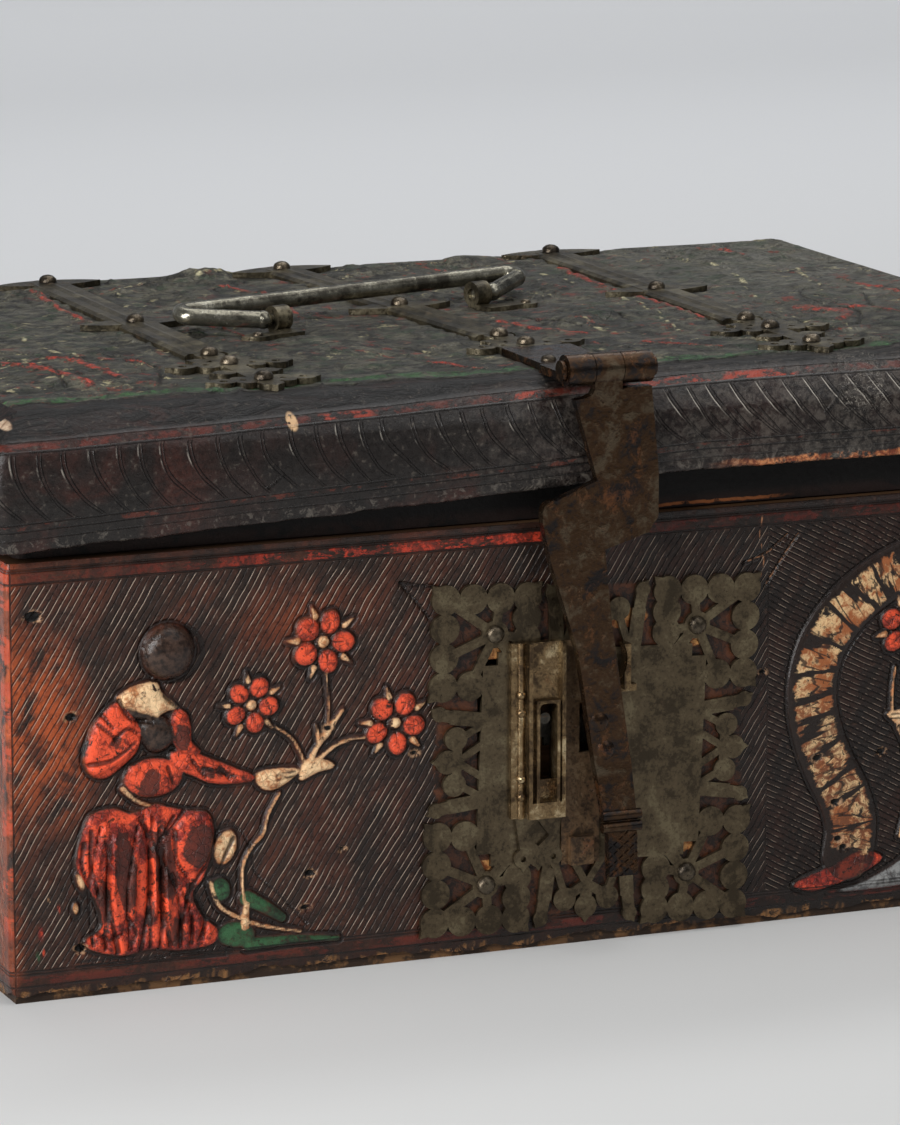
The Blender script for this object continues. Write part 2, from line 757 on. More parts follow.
# %% [markdown]
# ## Painted, tooled leather
# The material mixes the bare brown leather with worn paint. Red, cream, green and
# grey cover the stored shapes, and a noise eats into the paint. The hatched ground
# is a repeating groove that stops at each shape.


# %% Leather of the case
HATCH_LEFT, HATCH_RIGHT = 1.62, 1.50
BLOCK_LENGTH, STROKE_LENGTH = 7.6, 3.3
FRAME_RULES = (110.5, 109.9, 106.9, 8.4, 7.6, 4.4)
EDGE_RULE = 1.3


def case_leather():
    g = Graph("painted_leather")
    p, _, y, z = g.place()
    along, red, cream, green, grey, dark, shape, line = g.attributes(
        "along", "red", "cream", "green", "grey", "dark", "shape", "line")
    hole, scroll, path, split, across, worn, wear, bare, edge = g.attributes(
        "hole", "scroll", "path", "split", "across", "worn", "wear", "bare", "edge")
    cloud = g.noise(p, 7.0, 5.0, 0.62, 0.3)
    fine = g.noise(p, 1.5, 5.0, 0.64)
    grain = g.noise(p, 0.4, 3.0, 0.6)
    scrape = g.noise(p, 2.4, 6.0, 0.72, 0.8)
    side, down = along * 0.84 - z * 0.54, along * 0.54 + z * 0.84
    streak = g.noise((side, down * 0.30, y), 6.0, 5.0, 0.66, 0.5)
    broad = g.noise((side, down * 0.60, y), 26.0, 4.0, 0.6, 0.4)

    wander = (g.noise(p, 30.0, 2.0) - 0.5) * 2.6 + (g.noise(p, 7.0, 1.0) - 0.5) * 0.5
    left = (side + wander) / HATCH_LEFT
    right = (along * 0.45 + z * 0.89 + wander) / HATCH_RIGHT
    turn = along.above(52.0, 52.5)
    phase = (left * (1.0 - turn) + right * turn).fract()
    field = shape.below(-1.1, -0.5) * z.between(8.6, 9.2, 105.8, 106.5)
    field = field * edge.above(1.2, 1.6) * (1.0 - bare.above(0.0, 0.4))
    faint = g.noise(p, 6.0, 3.0).above(0.34, 0.54)
    hatch = (phase - 0.5).abs().above(0.36, 0.47) * field * (0.45 + faint * 0.55)
    spark = g.noise((side * 1.6, down * 0.25, y), 3.4, 4.0, 0.7).above(0.45, 0.57)
    glint = phase.between(0.09, 0.14, 0.19, 0.27) * field * spark
    glint = glint * (1.0 - 0.45 * along.above(-20.0, 70.0))

    base = g.layers(
        (52, 34, 26),
        (streak.above(0.38, 0.62), (82, 43, 29)),
        (broad.below(0.40, 0.56) * 0.60, (31, 24, 20)),
        (along.above(-110.0, 60.0) * 0.78, (20, 15, 12)),
        (worn * (streak * 0.7 + cloud * 0.3).above(0.37, 0.52), (172, 80, 40)),
        (cloud.below(0.36, 0.46) * 0.55, (28, 23, 21)),
        (fine.below(0.40, 0.52) * 0.35, (26, 21, 19)),
        (fine.above(0.58, 0.70) * 0.26, (104, 76, 62)),
        (hatch * 0.72, (12, 8, 7)),
        (glint * (0.56 + 0.14 * along.below(-60.0, -20.0)), (226, 200, 178)),
    )

    tan = g.mix(scrape.above(0.40, 0.60), (150, 82, 40), (226, 164, 100))
    dull = g.layers(
        (30, 20, 15),
        (scrape.above(0.42, 0.58), (72, 42, 27)),
        (cloud.above(0.54, 0.62) * 0.45, (112, 62, 34)),
    )
    base = g.mix(bare.above(0.05, 0.4), base, g.mix(bare.above(0.55, 0.85), dull, tan))

    crack = g.cells(p, 1.9, "DISTANCE_TO_EDGE").below(0.02, 0.09) * cloud.above(0.38, 0.55)
    eaten = (fine - 0.5) * 2.4 + (cloud - 0.5) * 1.6
    cover = (scrape * 0.65 + cloud * 0.35).above(0.38, 0.45)
    lost = (wear * 1.1 + (cloud - 0.5) * 1.3 + (scrape - 0.5) * 1.1).above(0.34, 0.52)

    def paint(under, distance, bright, deep, share=1.0):
        on = (distance + eaten * 0.40).above(0.0, 0.45) * cover * (1.0 - crack * 0.4)
        tint = g.layers(
            bright,
            ((fine * 0.5 + cloud * 0.5).above(0.46, 0.62), deep),
            (distance.below(0.1, 1.3) * 0.55, deep),
        )
        return g.mix(on * share, under, tint)

    bars = ((along * 0.62).fract() - 0.5).abs().above(0.30, 0.42)
    patchy = g.noise((along * 0.6, y, z * 1.6), 7.0, 6.0, 0.80)
    frame_red = z.between(106.9, 107.3, 109.7, 110.1) * patchy.above(0.46, 0.52)
    frame_red = frame_red * (0.14 + 0.86 * along.between(-128.0, -50.0, -14.0, -8.0))
    low_red = z.between(4.4, 5.0, 6.6, 7.4) * patchy.above(0.46, 0.56)
    blotch = g.noise((along * 0.3, y * 0.3, z), 6.5, 4.0, 0.7)
    edge_red = edge.below(1.0, 1.4) * blotch.above(0.50, 0.56) * z.above(14.0, 22.0)
    color = g.layers(
        base,
        (frame_red * (1.0 - bars * 0.12) * cover * 0.9,
         g.mix(fine.above(0.4, 0.6), (190, 62, 42), (110, 40, 30))),
        (low_red * 0.60, (118, 46, 34)),
        (edge_red * 0.80, g.mix(fine, (132, 50, 34), (206, 84, 48))),
    )
    gown = z.below(44.0, 56.0) * (cloud * 0.6 + scrape * 0.4).above(0.44, 0.54)
    color = paint(color, red, g.mix(gown, (238, 88, 54), (146, 48, 38)),
                  g.mix(gown, (122, 40, 28), (84, 29, 25)))
    color = g.mix(red.above(0.0, 0.6) * lost * 0.88, color,
                  g.mix(fine, (40, 25, 21), (78, 44, 36)))
    color = paint(color, green, (56, 100, 64), (26, 42, 30), 0.9)
    color = paint(color, grey, (146, 146, 144), (92, 92, 92))

    unit = g.noise((path * 0.16, across * 0.22, 0.0), 1.0, 3.0, 0.6)
    rough_edge = g.noise((path * 0.5, across * 1.6, 3.0), 1.0, 4.0, 0.7)
    block = (path / BLOCK_LENGTH + across * 0.22 + (unit - 0.5) * 2.2).fract()
    bar = block.near(0.5, 0.31 + (rough_edge - 0.5) * 0.30, 0.39)
    stroke = (path / STROKE_LENGTH - across * 0.5 + (unit - 0.5) * 3.0).fract()
    mark = stroke.near(0.5, 0.05, 0.12) * unit.above(0.46, 0.52)
    mark = (mark + across.near((unit - 0.5) * 3.0, 0.05, 0.11) * unit.below(0.50, 0.56)).clip()
    bar = bar * (across.abs() + (rough_edge - 0.5) * 0.7).below(0.70, 0.80)
    bar = bar * (scrape * 0.5 + rough_edge * 0.5).above(0.40, 0.47)
    pale = g.layers(
        (228, 190, 140),
        ((scrape * 0.5 + cloud * 0.5).above(0.43, 0.55), (158, 92, 52)),
        (path.below(34.0, 52.0) * scrape.above(0.44, 0.54) * 0.7, (96, 58, 40)),
    )
    color = g.layers(
        color,
        (scroll.above(0.0, 0.3) * 0.80, (34, 25, 21)),
        (scroll.above(0.0, 0.3) * bar * (1.0 - mark * 0.85) * cover, pale),
    )
    color = paint(color, cream, (250, 212, 164), (184, 120, 76))
    gloss = g.mix(fine.above(0.35, 0.65), (30, 23, 20), (70, 54, 45))
    color = g.mix((dark + (scrape - 0.5) * 2.4).above(-0.1, 0.9) * 0.9, color, gloss)
    outline = shape.between(-1.3, -0.7, -0.5, 0.15)
    color = g.layers(
        color,
        (outline * (0.35 + 0.5 * faint), (22, 16, 14)),
        (line.above(-0.4, 0.1) * 0.82, (26, 18, 15)),
    )
    rules = 0.0
    for level in FRAME_RULES:
        rules = z.near(level, 0.10, 0.34) + rules
    rules = (rules + edge.near(EDGE_RULE, 0.10, 0.34)).clip() * (0.4 + 0.6 * faint)
    color = g.mix(rules * 0.8, color, (24, 18, 15))
    ragged = z + (cloud - 0.5) * 7.0 + (fine - 0.5) * 2.0
    chip = g.noise((along, 0.0, 0.0), 15.0, 4.0, 0.7).above(0.47, 0.56)
    edge_wood = ragged.below(2.6, 3.4) * chip * scrape.above(0.40, 0.52)
    split_pale = split.above(-0.20, 0.1) * fine.above(0.42, 0.54)
    chipped = hole.above(-1.0, -0.3) * fine.above(0.47, 0.55)
    color = g.layers(
        color,
        (z.below(2.0, 9.0) * 0.60, (28, 21, 17)),
        (edge_wood, g.mix(fine, (88, 56, 32), (170, 122, 74))),
        (split_pale * 0.8, (186, 130, 92)),
        (chipped * 0.75, (186, 146, 112)),
        (hole.above(-0.25, 0.1), (9, 7, 5)),
    )

    height = cloud * 0.75 + fine * 0.45 + grain * 0.10 + streak * 0.25
    height = height - hatch * 1.9 + glint * 0.35 - rules * 0.7 - outline * 0.8
    height = height - line.above(-0.5, 0.3) * 0.9 - crack * cover * red.above(0.0, 0.3) * 0.3
    height = height - edge_wood * 0.3 - bare * 0.4 * scrape
    rough = 0.31 + (fine - 0.5) * 0.34 + (grain - 0.5) * 0.10 + red.above(0, 1) * 0.07
    rough = rough - dark.above(0, 1) * 0.15 + edge_wood * 0.2 + bare * 0.2
    return g.finish(color, rough, height, 0.50, coat=0.06, specular=0.30)


CASE_LEATHER = case_leather()
print("case leather:", len(CASE_LEATHER.node_tree.nodes), "nodes")

# %% [markdown]
# ## The picture on the front
# A seated figure in a red gown holds a rose tree, and a curving ribbon fills the
# space beside the lock. The figure is a plain traditional type with no face. The
# ribbon carries plain blocks and no writing.


# %% Roses, rose tree, figure and ribbon
HOLE_DEPTH = 1.1
PETALS, PETAL_OUT, PETAL_LONG, PETAL_WIDE = 5, 5.4, 3.15, 2.85
SEPAL_FROM, SEPAL_TO = 7.0, 9.9


class Picture:
    """Collects the painted distances and the relief of one leather panel."""

    NAMES = ("red", "cream", "green", "grey", "dark", "shape", "line", "hole", "scroll",
             "split")
    SHARES = ("path", "across", "worn", "wear", "bare")

    def __init__(self, u, v):
        self.sheet = Sheet(u, v)
        self.height = np.zeros(u.shape)
        self.fields = {n: np.full(u.shape, FAR) for n in self.NAMES}
        self.fields.update({n: np.zeros(u.shape) for n in self.SHARES})

    def add(self, name, distance, rise=0.0, width=2.0, solid=True):
        self.fields[name] = np.maximum(self.fields[name], distance)
        if solid:
            self.fields["shape"] = np.maximum(self.fields["shape"], distance)
        if rise:
            self.height = np.maximum(self.height, bulge(distance, width, rise))

    def raise_more(self, distance, width, rise):
        """Adds a bulge on top of what is there."""
        self.height = self.height + bulge(distance, width, rise)

    def rub(self, distance, reach, share):
        """Where hands have rubbed the paint off a raised part."""
        self.fields["wear"] = np.maximum(self.fields["wear"], share * ease(distance, -1.5, reach))

    def cut(self, distance, depth=0.4, width=0.6):
        """An incised line, which also darkens."""
        self.fields["line"] = np.maximum(self.fields["line"], distance)
        self.height = self.height - depth * ease(distance, -width, 0.2)


def rose(pic, s, cu, cv, size, turn):
    """Five separate petals, a boss and a sepal in each gap."""
    uneven = np.random.default_rng(int(abs(cu) * 7 + cv))
    step = 360 // PETALS
    for k in range(PETALS):
        a = math.radians(turn + step * k)
        reach = PETAL_OUT * size * uneven.uniform(0.95, 1.05)
        pu, pv = cu + reach * math.cos(a), cv + reach * math.sin(a)
        petal = s.blob(pu, pv, PETAL_LONG * size, PETAL_WIDE * size * uneven.uniform(0.92, 1.08),
                       turn + step * k + uneven.uniform(-14, 14))
        pic.add("red", petal, 1.0, 1.5)
        pic.cut(s.stroke([(cu + 2.6 * size * math.cos(a), cv + 2.6 * size * math.sin(a)),
                          (pu, pv)], 0.06), 0.15)
    pic.add("cream", s.blob(cu, cv, 1.75 * size, 1.65 * size), 0.95, 1.3)
    for k in range(PETALS):
        a = math.radians(turn + step / 2 + step * k + uneven.uniform(-8, 8))
        ends = [(cu + out * size * math.cos(a), cv + out * size * math.sin(a))
                for out in (SEPAL_FROM, SEPAL_TO)]
        pic.add("cream", s.stroke(ends, size, 0.25), 0.7, 0.9)


def rose_tree(pic, s, stout=0.0):
    """Ground, trunk, branches and three roses. stout thickens the stems for coarse grids."""
    for ground, rise, width in (
        (s.stroke([(-92.5, 21.5), (-88, 19.0), (-83, 15.5)], 2.2, 1.2), 0.5, 2.0),
        (s.blob(-95.5, 12.4, 5.2, 3.4, -8), 0.6, 2.5),
        (s.stroke([(-92, 9.4), (-80, 9.5), (-68, 8.6)], 1.8, 0.8), 0.5, 1.8),
        (s.blob(-99.5, 24.5, 2.6, 3.2, 20), 0.5, 2.0),
    ):
        pic.add("green", ground, rise, width)
    pic.cut(s.stroke([(-104, 30.5), (-98.5, 42), (-92.5, 37), (-90, 28), (-84, 22), (-76, 13)],
                     0.2), 0.4)
    pic.add("cream", s.blob(-98.2, 35.4, 3.0, 4.6, -16), 0.7, 2.0)
    pic.cut(s.stroke([(-96.2, 37.5), (-98.4, 33.2), (-99.4, 30.5)], 0.5, 0.2), 0.3)
    pic.add("cream", s.stroke([(-102.2, 26.5), (-100.4, 21), (-96, 17.4), (-88, 13.8),
                               (-78, 11.4)], 0.75 + stout, 0.5 + stout), 0.6, 1.0)
    pic.add("cream", s.stroke([(-93.2, 14.4), (-92.7, 20)], 1.3, 1.0), 0.7, 1.2)
    pic.add("cream", s.stroke([(-92.9, 18), (-93.6, 24), (-93.5, 30), (-91.3, 34.5),
                               (-88, 38), (-86.6, 43), (-83.6, 48)], 0.6 + stout, 0.5 + stout),
            0.8, 1.0)
    pic.add("cream", s.patch([(-78.6, 52), (-77.2, 55.6), (-73, 56.3), (-68.8, 54.4),
                              (-69.4, 52.9), (-73, 52.3), (-77.4, 50.6)]), 0.8, 1.6)
    for path, a, b in (
        ([(-76.5, 54), (-78.2, 58.5), (-80.5, 62.2), (-84.6, 65.2)], 0.55, 0.40),
        ([(-75.6, 54.6), (-73.6, 58.6), (-70.6, 61.7)], 1.15, 0.45),
        ([(-71, 62), (-68.2, 65.8), (-66.3, 68)], 1.15, 0.50),
        ([(-72.8, 60.4), (-73.6, 64.8)], 0.85, 0.35),
        ([(-70.6, 63.5), (-70.2, 70), (-70.8, 78)], 0.45, 0.35),
        ([(-73.4, 55.5), (-68.5, 58.9), (-64, 60.2), (-60.4, 60.3)], 0.75, 0.45),
    ):
        pic.add("cream", s.stroke(path, a + stout, b + stout), 0.65, 0.9)
    rose(pic, s, -71.6, 86.0, 1.0, 68)
    rose(pic, s, -90.9, 71.4, 0.88, 64)
    rose(pic, s, -52.2, 63.4, 0.98, 60)


def figure(pic, s):
    """A seated figure: gown, sleeve, reaching arm and a plain rounded head."""
    gown = s.patch([(-134, 47), (-128, 48.3), (-122.5, 46.6), (-117, 48.4), (-112, 47),
                    (-107.5, 45.9), (-103, 45), (-101.2, 41), (-101.6, 35), (-104, 28),
                    (-107, 24), (-104.3, 18), (-100.4, 14.5), (-101.5, 10.6), (-110, 9.8),
                    (-118, 10.8), (-126, 10.0), (-134, 12.2), (-135.8, 15), (-131.4, 18),
                    (-132.4, 24), (-135.0, 28.5), (-137.8, 34), (-136.6, 41)])
    pic.add("red", gown, 0.9, 3.0)
    inside = ease(gown, 0.2, 1.6)
    for cu, cv, ru, rv, turn, rise in ((-106.6, 37.6, 6.2, 7.6, -12, 1.5),
                                       (-126.2, 32, 4.4, 13.0, 6, 1.2),
                                       (-131.5, 40, 4.0, 9.0, 14, 0.6),
                                       (-113.5, 19, 3.4, 9.0, -14, 0.6)):
        blob = s.blob(cu, cv, ru, rv, turn)
        pic.raise_more(blob * inside, min(ru, rv), rise)
    for part, reach, share in (
        (s.blob(-105.8, 36.8, 4.2, 5.6, -12), 2.0, 1.0),
        (s.blob(-125.2, 31.5, 2.9, 10, 5), 1.6, 1.0), (s.blob(-114.6, 33, 3.8, 12, 8), 3.0, 0.9),
        (s.blob(-130.5, 24, 2.2, 9.0, 4), 2.0, 0.7), (s.blob(-112, 15, 3.0, 4.0), 2.0, 0.7),
        (s.blob(-127, 64, 2.6, 3.4, 20), 2.0, 0.5), (s.blob(-98, 54.6, 4.0, 0.9, -18), 1.0, 0.6),
        (s.blob(-107.0, 24.5, 2.6, 3.2, 8), 2.0, 0.9), (s.blob(-118.5, 22, 1.6, 8.0, -6), 2.0, 0.6),
        (s.blob(-118.6, 53.4, 2.2, 4.0, -24), 1.0, 0.9),
        (s.blob(-103, 55.2, 2.0, 1.3, -30), 1.0, 0.6), (s.blob(-109.5, 64.5, 2.0, 3.2), 1.6, 0.8),
    ):
        pic.rub(part, reach, share)
    waist = s.blob(-117.2, 55.2, 7.9, 5.0)
    pic.add("red", waist, 1.5, 3.5)
    sleeve = s.patch([(-126.5, 75.4), (-132, 71), (-134.4, 66), (-135.4, 60.5),
                      (-133.3, 57), (-130, 56.1), (-126.5, 57.8), (-121.3, 62.3),
                      (-120.3, 67.5), (-122.4, 71.6)])
    pic.add("red", sleeve, 1.5, 3.2)
    pic.raise_more(s.stroke([(-132.6, 58.6), (-127.4, 61), (-121.6, 65)], 1.5, 1.1), 1.4, 0.7)
    pic.raise_more(s.stroke([(-131, 69), (-126.4, 67.6), (-123, 70)], 1.8, 1.2), 1.8, 0.6)
    pic.add("red", s.patch([(-111.5, 72), (-108.2, 71), (-107, 67), (-106.8, 63.5),
                            (-104.4, 60.4), (-110, 61.2), (-112.8, 66)]), 1.6, 3.0)
    pic.add("red", s.patch([(-112.8, 61.2), (-107, 61), (-101, 58.4), (-95, 55.6),
                            (-90.6, 53.4), (-91, 51.8), (-96, 51.5), (-102, 52.2),
                            (-107, 54.6), (-111.4, 57)]), 1.5, 2.4)
    pic.add("dark", s.patch([(-120.8, 68.4), (-117, 71.2), (-112.6, 69.2), (-111.2, 65.4),
                             (-113.4, 62.4), (-116.6, 61.6), (-119.2, 63.4)]), 2.4, 4.2)
    collar = s.patch([(-126.6, 76.3), (-121, 79.4), (-116.2, 79.7), (-114.2, 76.5),
                      (-110.2, 72.6), (-113.5, 71.6), (-117.5, 70), (-123, 71.1)])
    pic.add("cream", np.minimum(collar, (s.v - 73.0 + 0.35 * (s.u + 124)) * 0.8), 1.4, 3.0)
    pic.add("dark", np.minimum(collar, 74.0 - s.v - 0.35 * (s.u + 124)), 1.5, 3.0)
    head = s.blob(-113, 87, 6.9, 7.1)
    pic.add("dark", head, 4.8, 7.0)
    pic.cut(s.stroke([(-107.8, 93.2), (-104.4, 89.5), (-104.0, 84.5), (-108, 80.4),
                      (-112.5, 79.6)], 0.5, 0.9), 0.35)
    pic.add("cream", s.patch([(-90, 53.7), (-86.5, 54.6), (-80, 54.4), (-78.1, 53.2),
                              (-81, 50.7), (-85.8, 48.8), (-89.4, 50.4)]), 1.1, 2.0)
    for row in (0, 1):
        pic.cut(s.stroke([(-84.5, 52.8 - 1.3 * row), (-79.5, 53.4 - 1.2 * row)], 0.12), 0.25)
    pic.add("cream", s.stroke([(-125.3, 53), (-122, 49.8), (-118.2, 48)], 0.8, 0.5), 1.0, 1.0)
    pic.add("red", s.blob(-122.4, 57.6, 1.6, 1.5), 1.8, 1.5)
    pic.add("cream", s.blob(-136.6, 30.2, 1.0, 2.6, 20), 0.7, 1.0)
    pic.add("cream", s.blob(-138.0, 23.4, 0.9, 1.5), 0.6, 1.0)
    hem = [(-133.5, 13.5), (-130.4, 12), (-127, 11), (-123.6, 11.4), (-121, 11), (-118.6, 11.6),
           (-116, 11), (-113.4, 11.6), (-110.6, 11), (-107.6, 11.4), (-104.6, 12)]
    waists = [(-131.5, 44), (-130, 40), (-128.8, 42), (-121.6, 43), (-119.8, 46), (-117.6, 45),
              (-116, 42), (-114.6, 38), (-112.4, 30), (-110.4, 26), (-108, 28)]
    uneven = np.random.default_rng(11)
    for k, ((hu, hv), (wu, wv)) in enumerate(zip(hem, waists)):
        bend = uneven.uniform(-1.6, 1.6)
        middle = ((hu + wu) / 2 + bend * 1.5, (hv + wv) / 2)
        fold = [(wu, wv), middle, (hu, hv)]
        pic.cut(s.stroke(fold, 0.12, uneven.uniform(0.15, 0.5)), 0.55, 1.1)
        ridge = s.stroke([(a + 1.1, b) for a, b in fold], 0.7, 1.1)
        pic.raise_more(ridge * inside, 1.2, 0.60)
    for fold in (
        [(-135.6, 40), (-136.2, 34), (-134.2, 29)], [(-133.8, 43), (-134.0, 35), (-132, 26)],
        [(-121, 45), (-116.4, 36), (-112, 27)], [(-112, 44.6), (-116, 38.4)],
        [(-109, 46), (-114, 40)], [(-111.8, 41), (-111.6, 34), (-108.6, 29)],
        [(-103.6, 31), (-108, 25), (-110.4, 17)], [(-105.6, 23), (-103.6, 17), (-106, 12)],
        [(-133, 17), (-129, 14.6), (-126, 16)], [(-124.6, 20), (-122.4, 16), (-124, 12)],
        [(-127.4, 66), (-124.4, 68.5), (-121.4, 67)], [(-134.2, 60), (-128, 61), (-122, 65)],
        [(-131.5, 70), (-127, 66)], [(-130.4, 72.2), (-128, 69)], [(-113.5, 57.5), (-112, 53)],
        [(-107, 58.6), (-103.5, 54)], [(-104, 56.6), (-96, 53.8)], [(-99.6, 56.4), (-97, 52.8)],
        [(-126, 75.6), (-123.4, 71), (-118, 69.6)], [(-114, 75.8), (-110.4, 72.2)],
    ):
        pic.cut(s.stroke(fold, 0.42, 0.22), 0.55, 0.8)
    for v in (9.0, 7.6):
        pic.cut(s.stroke([(-138, v + 0.8), (-118, v), (-98, v - 0.4)], 0.22), 0.3)
    for k in range(9):
        cu = -134 + 4.2 * k
        pic.cut(s.stroke([(cu, 9.6), (cu + 1.6, 8.0), (cu + 3.4, 9.2)], 0.16), 0.3)
    plant = s.stroke([(-146, 9), (-145.4, 20), (-143.2, 30), (-140.6, 22), (-141, 10)], 2.6, 1.8)
    pic.raise_more(plant, 2.6, 0.35)
    for cu, cv, ru, rv in ((-147.2, 18, 0.9, 2.4), (-146.6, 13, 0.7, 1.5), (-142.4, 24, 0.6, 1.8)):
        pic.add("red", s.blob(cu, cv, ru, rv, 6), 0.3, 1.0, solid=False)
    pic.add("green", s.blob(-148.0, 12.2, 0.8, 1.8, 8), 0.3, 1.0, solid=False)
    pic.add("cream", s.blob(-145.0, 26.4, 0.5, 1.4, 12), 0.3, 0.8, solid=False)


def ribbon(pic, s):
    """The painted ribbon, with plain blocks along it."""
    inside, along, across = s.ribbon(
        [(76.5, 16.5), (77.2, 24), (75.2, 32), (71.0, 40), (67.6, 48), (65.4, 57),
         (65.6, 66), (68.6, 74.5), (75, 82.4), (83.5, 88.6), (92, 92.6), (101, 94.6),
         (109, 93.2)], 7.4, 6.6)
    pic.add("scroll", inside, 0.65, 1.6)
    here = inside > -1.5
    pic.fields["path"] = np.where(here, along, pic.fields["path"])
    pic.fields["across"] = np.where(here, across, pic.fields["across"])
    pic.add("red", s.patch([(60.5, 9.8), (65.5, 7.2), (72, 8.3), (80, 10.5), (86.5, 14),
                            (84.4, 16.2), (79, 17.2), (71, 13.8)]), 0.9, 2.0)
    pic.add("grey", s.patch([(70.5, 6.6), (80, 8.3), (90, 12.6), (98, 18), (103, 12),
                             (96, 7), (84, 6)]), 0.8, 2.0)
    rose(pic, s, 92.6, 76.4, 0.96, 80)


def holes(pic, s, places):
    """Empty nail holes, each given by its middle and size."""
    for cu, cv, r in places:
        h = s.blob(cu, cv, 1.25 * r, 0.85 * r)
        pic.add("hole", h, solid=False)
        pic.height = pic.height - HOLE_DEPTH * ease(h, -0.5, 0.3)


print("picture functions ready")

# %% [markdown]
# ## The front panel
# The panel wraps round both front corners, and the grid is fine enough for the
# embossing. Behind the lock it is cut away, so that the key slot opens into the case.

# %% Build the front leather
FRONT_CELL = 0.62
CORNER = 1.8
RETURN = 3.0
RECESS = (-29.6, 15.0, 43.5, 77.4)
LEATHER_LOW, LOWEST = 0.8, 0.15
LEATHER_THICK = 1.5
HEM_HIGH, TUCK_HIGH, TUCK_DEPTH = 3.0, 1.2, 0.8
MIRROR_LINE = 4.35
PLATE_MIDDLE = (1.9, 51.0)


def hang(v, relief, place, tuck, wave):
    """Outer and inner grid of a cover, tucked in at both edges, with a wavy hem."""
    lower = np.exp(-((v - LEATHER_LOW) / HEM_HIGH) ** 2)
    relief = relief - lower * tuck - TUCK_DEPTH * np.exp(-((v - BODY_TOP) / TUCK_HIGH) ** 2)
    z = np.maximum(v + lower * wave, LOWEST)
    x, y, nx, ny = place
    return [np.stack([x + nx * d, y + ny * d, z], -1) for d in (relief, -LEATHER_THICK)]


def corner_wrap(u):
    """Place along the wrapped front, as x, y and the outward normal."""
    flat = HALF_LENGTH - CORNER
    over = np.clip(np.abs(u) - flat, 0.0, None)
    turn = np.clip(over / CORNER, 0.0, math.pi / 2)
    rest = np.clip(over - CORNER * math.pi / 2, 0.0, None)
    x = np.sign(u) * (np.minimum(np.abs(u), flat) + CORNER * np.sin(turn))
    y = -HALF_DEPTH + CORNER * (1.0 - np.cos(turn)) + rest
    return x, y, np.sign(u) * np.sin(turn), -np.cos(turn)


span = HALF_LENGTH - CORNER + CORNER * math.pi / 2 + RETURN
columns = int(2 * span / FRONT_CELL)
rows = int((BODY_TOP - LEATHER_LOW) / FRONT_CELL)
u, v = np.meshgrid(np.linspace(-span, span, columns),
                   np.linspace(LEATHER_LOW, BODY_TOP, rows))
front = Picture(u, v)
print("front grid", columns, "x", rows)

s = front.sheet
rose_tree(front, s)
figure(front, s)
ribbon(front, s)
other = s.mirrored(MIRROR_LINE)
figure(front, other)
front.add("green", other.blob(-95.5, 12.4, 5.2, 3.0, -8), 0.6, 2.5)
for path, a, b in (([(-83, 20), (-86, 34), (-84, 47), (-88, 60)], 0.9, 0.6),
                   ([(-84.6, 44), (-80, 54), (-80.6, 66)], 0.6, 0.4)):
    front.add("cream", other.stroke(path, a, b), 0.7, 1.0)
rose(front, other, -90.5, 68.4, 0.86, 20)
for path in (
    [(-50.6, 99.4), (-46, 94), (-42.6, 89.6)], [(-50.6, 99.4), (-45, 98.2), (-41, 97.6)],
    [(45, 97.0), (51, 99.0), (57.4, 103.6)], [(51.4, 90.6), (55.6, 97), (60.4, 103.4)],
):
    front.cut(s.stroke(path, 0.28), 0.5)
holes(front, s, [(-148, 98.5, 1.5), (-138.3, 72.3, 1.1), (-136.8, 13, 1.1), (-75.5, 26.3, 0.9),
                 (-76.7, 17.4, 0.7), (-70.4, 63.6, 0.7), (-46.8, 54.9, 0.6), (50.7, 67.7, 0.6),
                 (66.8, 43.3, 0.9), (72.2, 31, 0.9), (73.2, 21, 0.8), (74.8, 18.6, 0.8),
                 (85.6, 43.3, 0.8), (-66.6, 31.8, 0.5), (118, 30, 0.8), (139, 96, 1.1)])
for path in ([(50.4, 110), (49.6, 104), (50.8, 98), (49.8, 92.5)],
             [(51.6, 91), (55.8, 97), (60.6, 103.8)], [(46, 97.4), (52, 99.4), (57.6, 104)]):
    front.add("split", s.stroke(path, 0.16, 0.08), solid=False)
plate_gap = np.maximum(np.abs(s.u - PLATE_MIDDLE[0]), np.abs(s.v - PLATE_MIDDLE[1]))
plate_gap = plate_gap + 1.5 * clouds(u, v, 6.0, 77)
front.fields["bare"] = 0.5 * ease(-plate_gap, -44.0, -41.5)
for cu, cv, ru, rv in ((11.5, 85.4, 6.8, 2.6), (-24.6, 78.8, 3.4, 1.7), (31.0, 78.4, 3.0, 2.2),
                       (-27.4, 23.6, 3.0, 1.5), (28.6, 23.4, 2.8, 1.6), (-33, 70, 1.5, 2.6),
                       (38.5, 44, 1.5, 2.4), (3, 22, 2.4, 1.3)):
    lit = ease(s.blob(cu, cv, ru, rv), -0.2, 0.4) * ease(front.fields["bare"], 0.2, 0.5)
    front.add("bare", lit, solid=False)
front.fields["worn"] = (
    np.clip(s.blob(-146, 70, 16, 30, 10) / 16, 0, 1) * 1.5
    + np.clip(s.blob(-78, 92, 24, 12, 12) / 12, 0, 1) * 0.35
    + ease(s.u, 148, 153) * 0.5 + ease(-s.u, 150, 154) * 0.35)

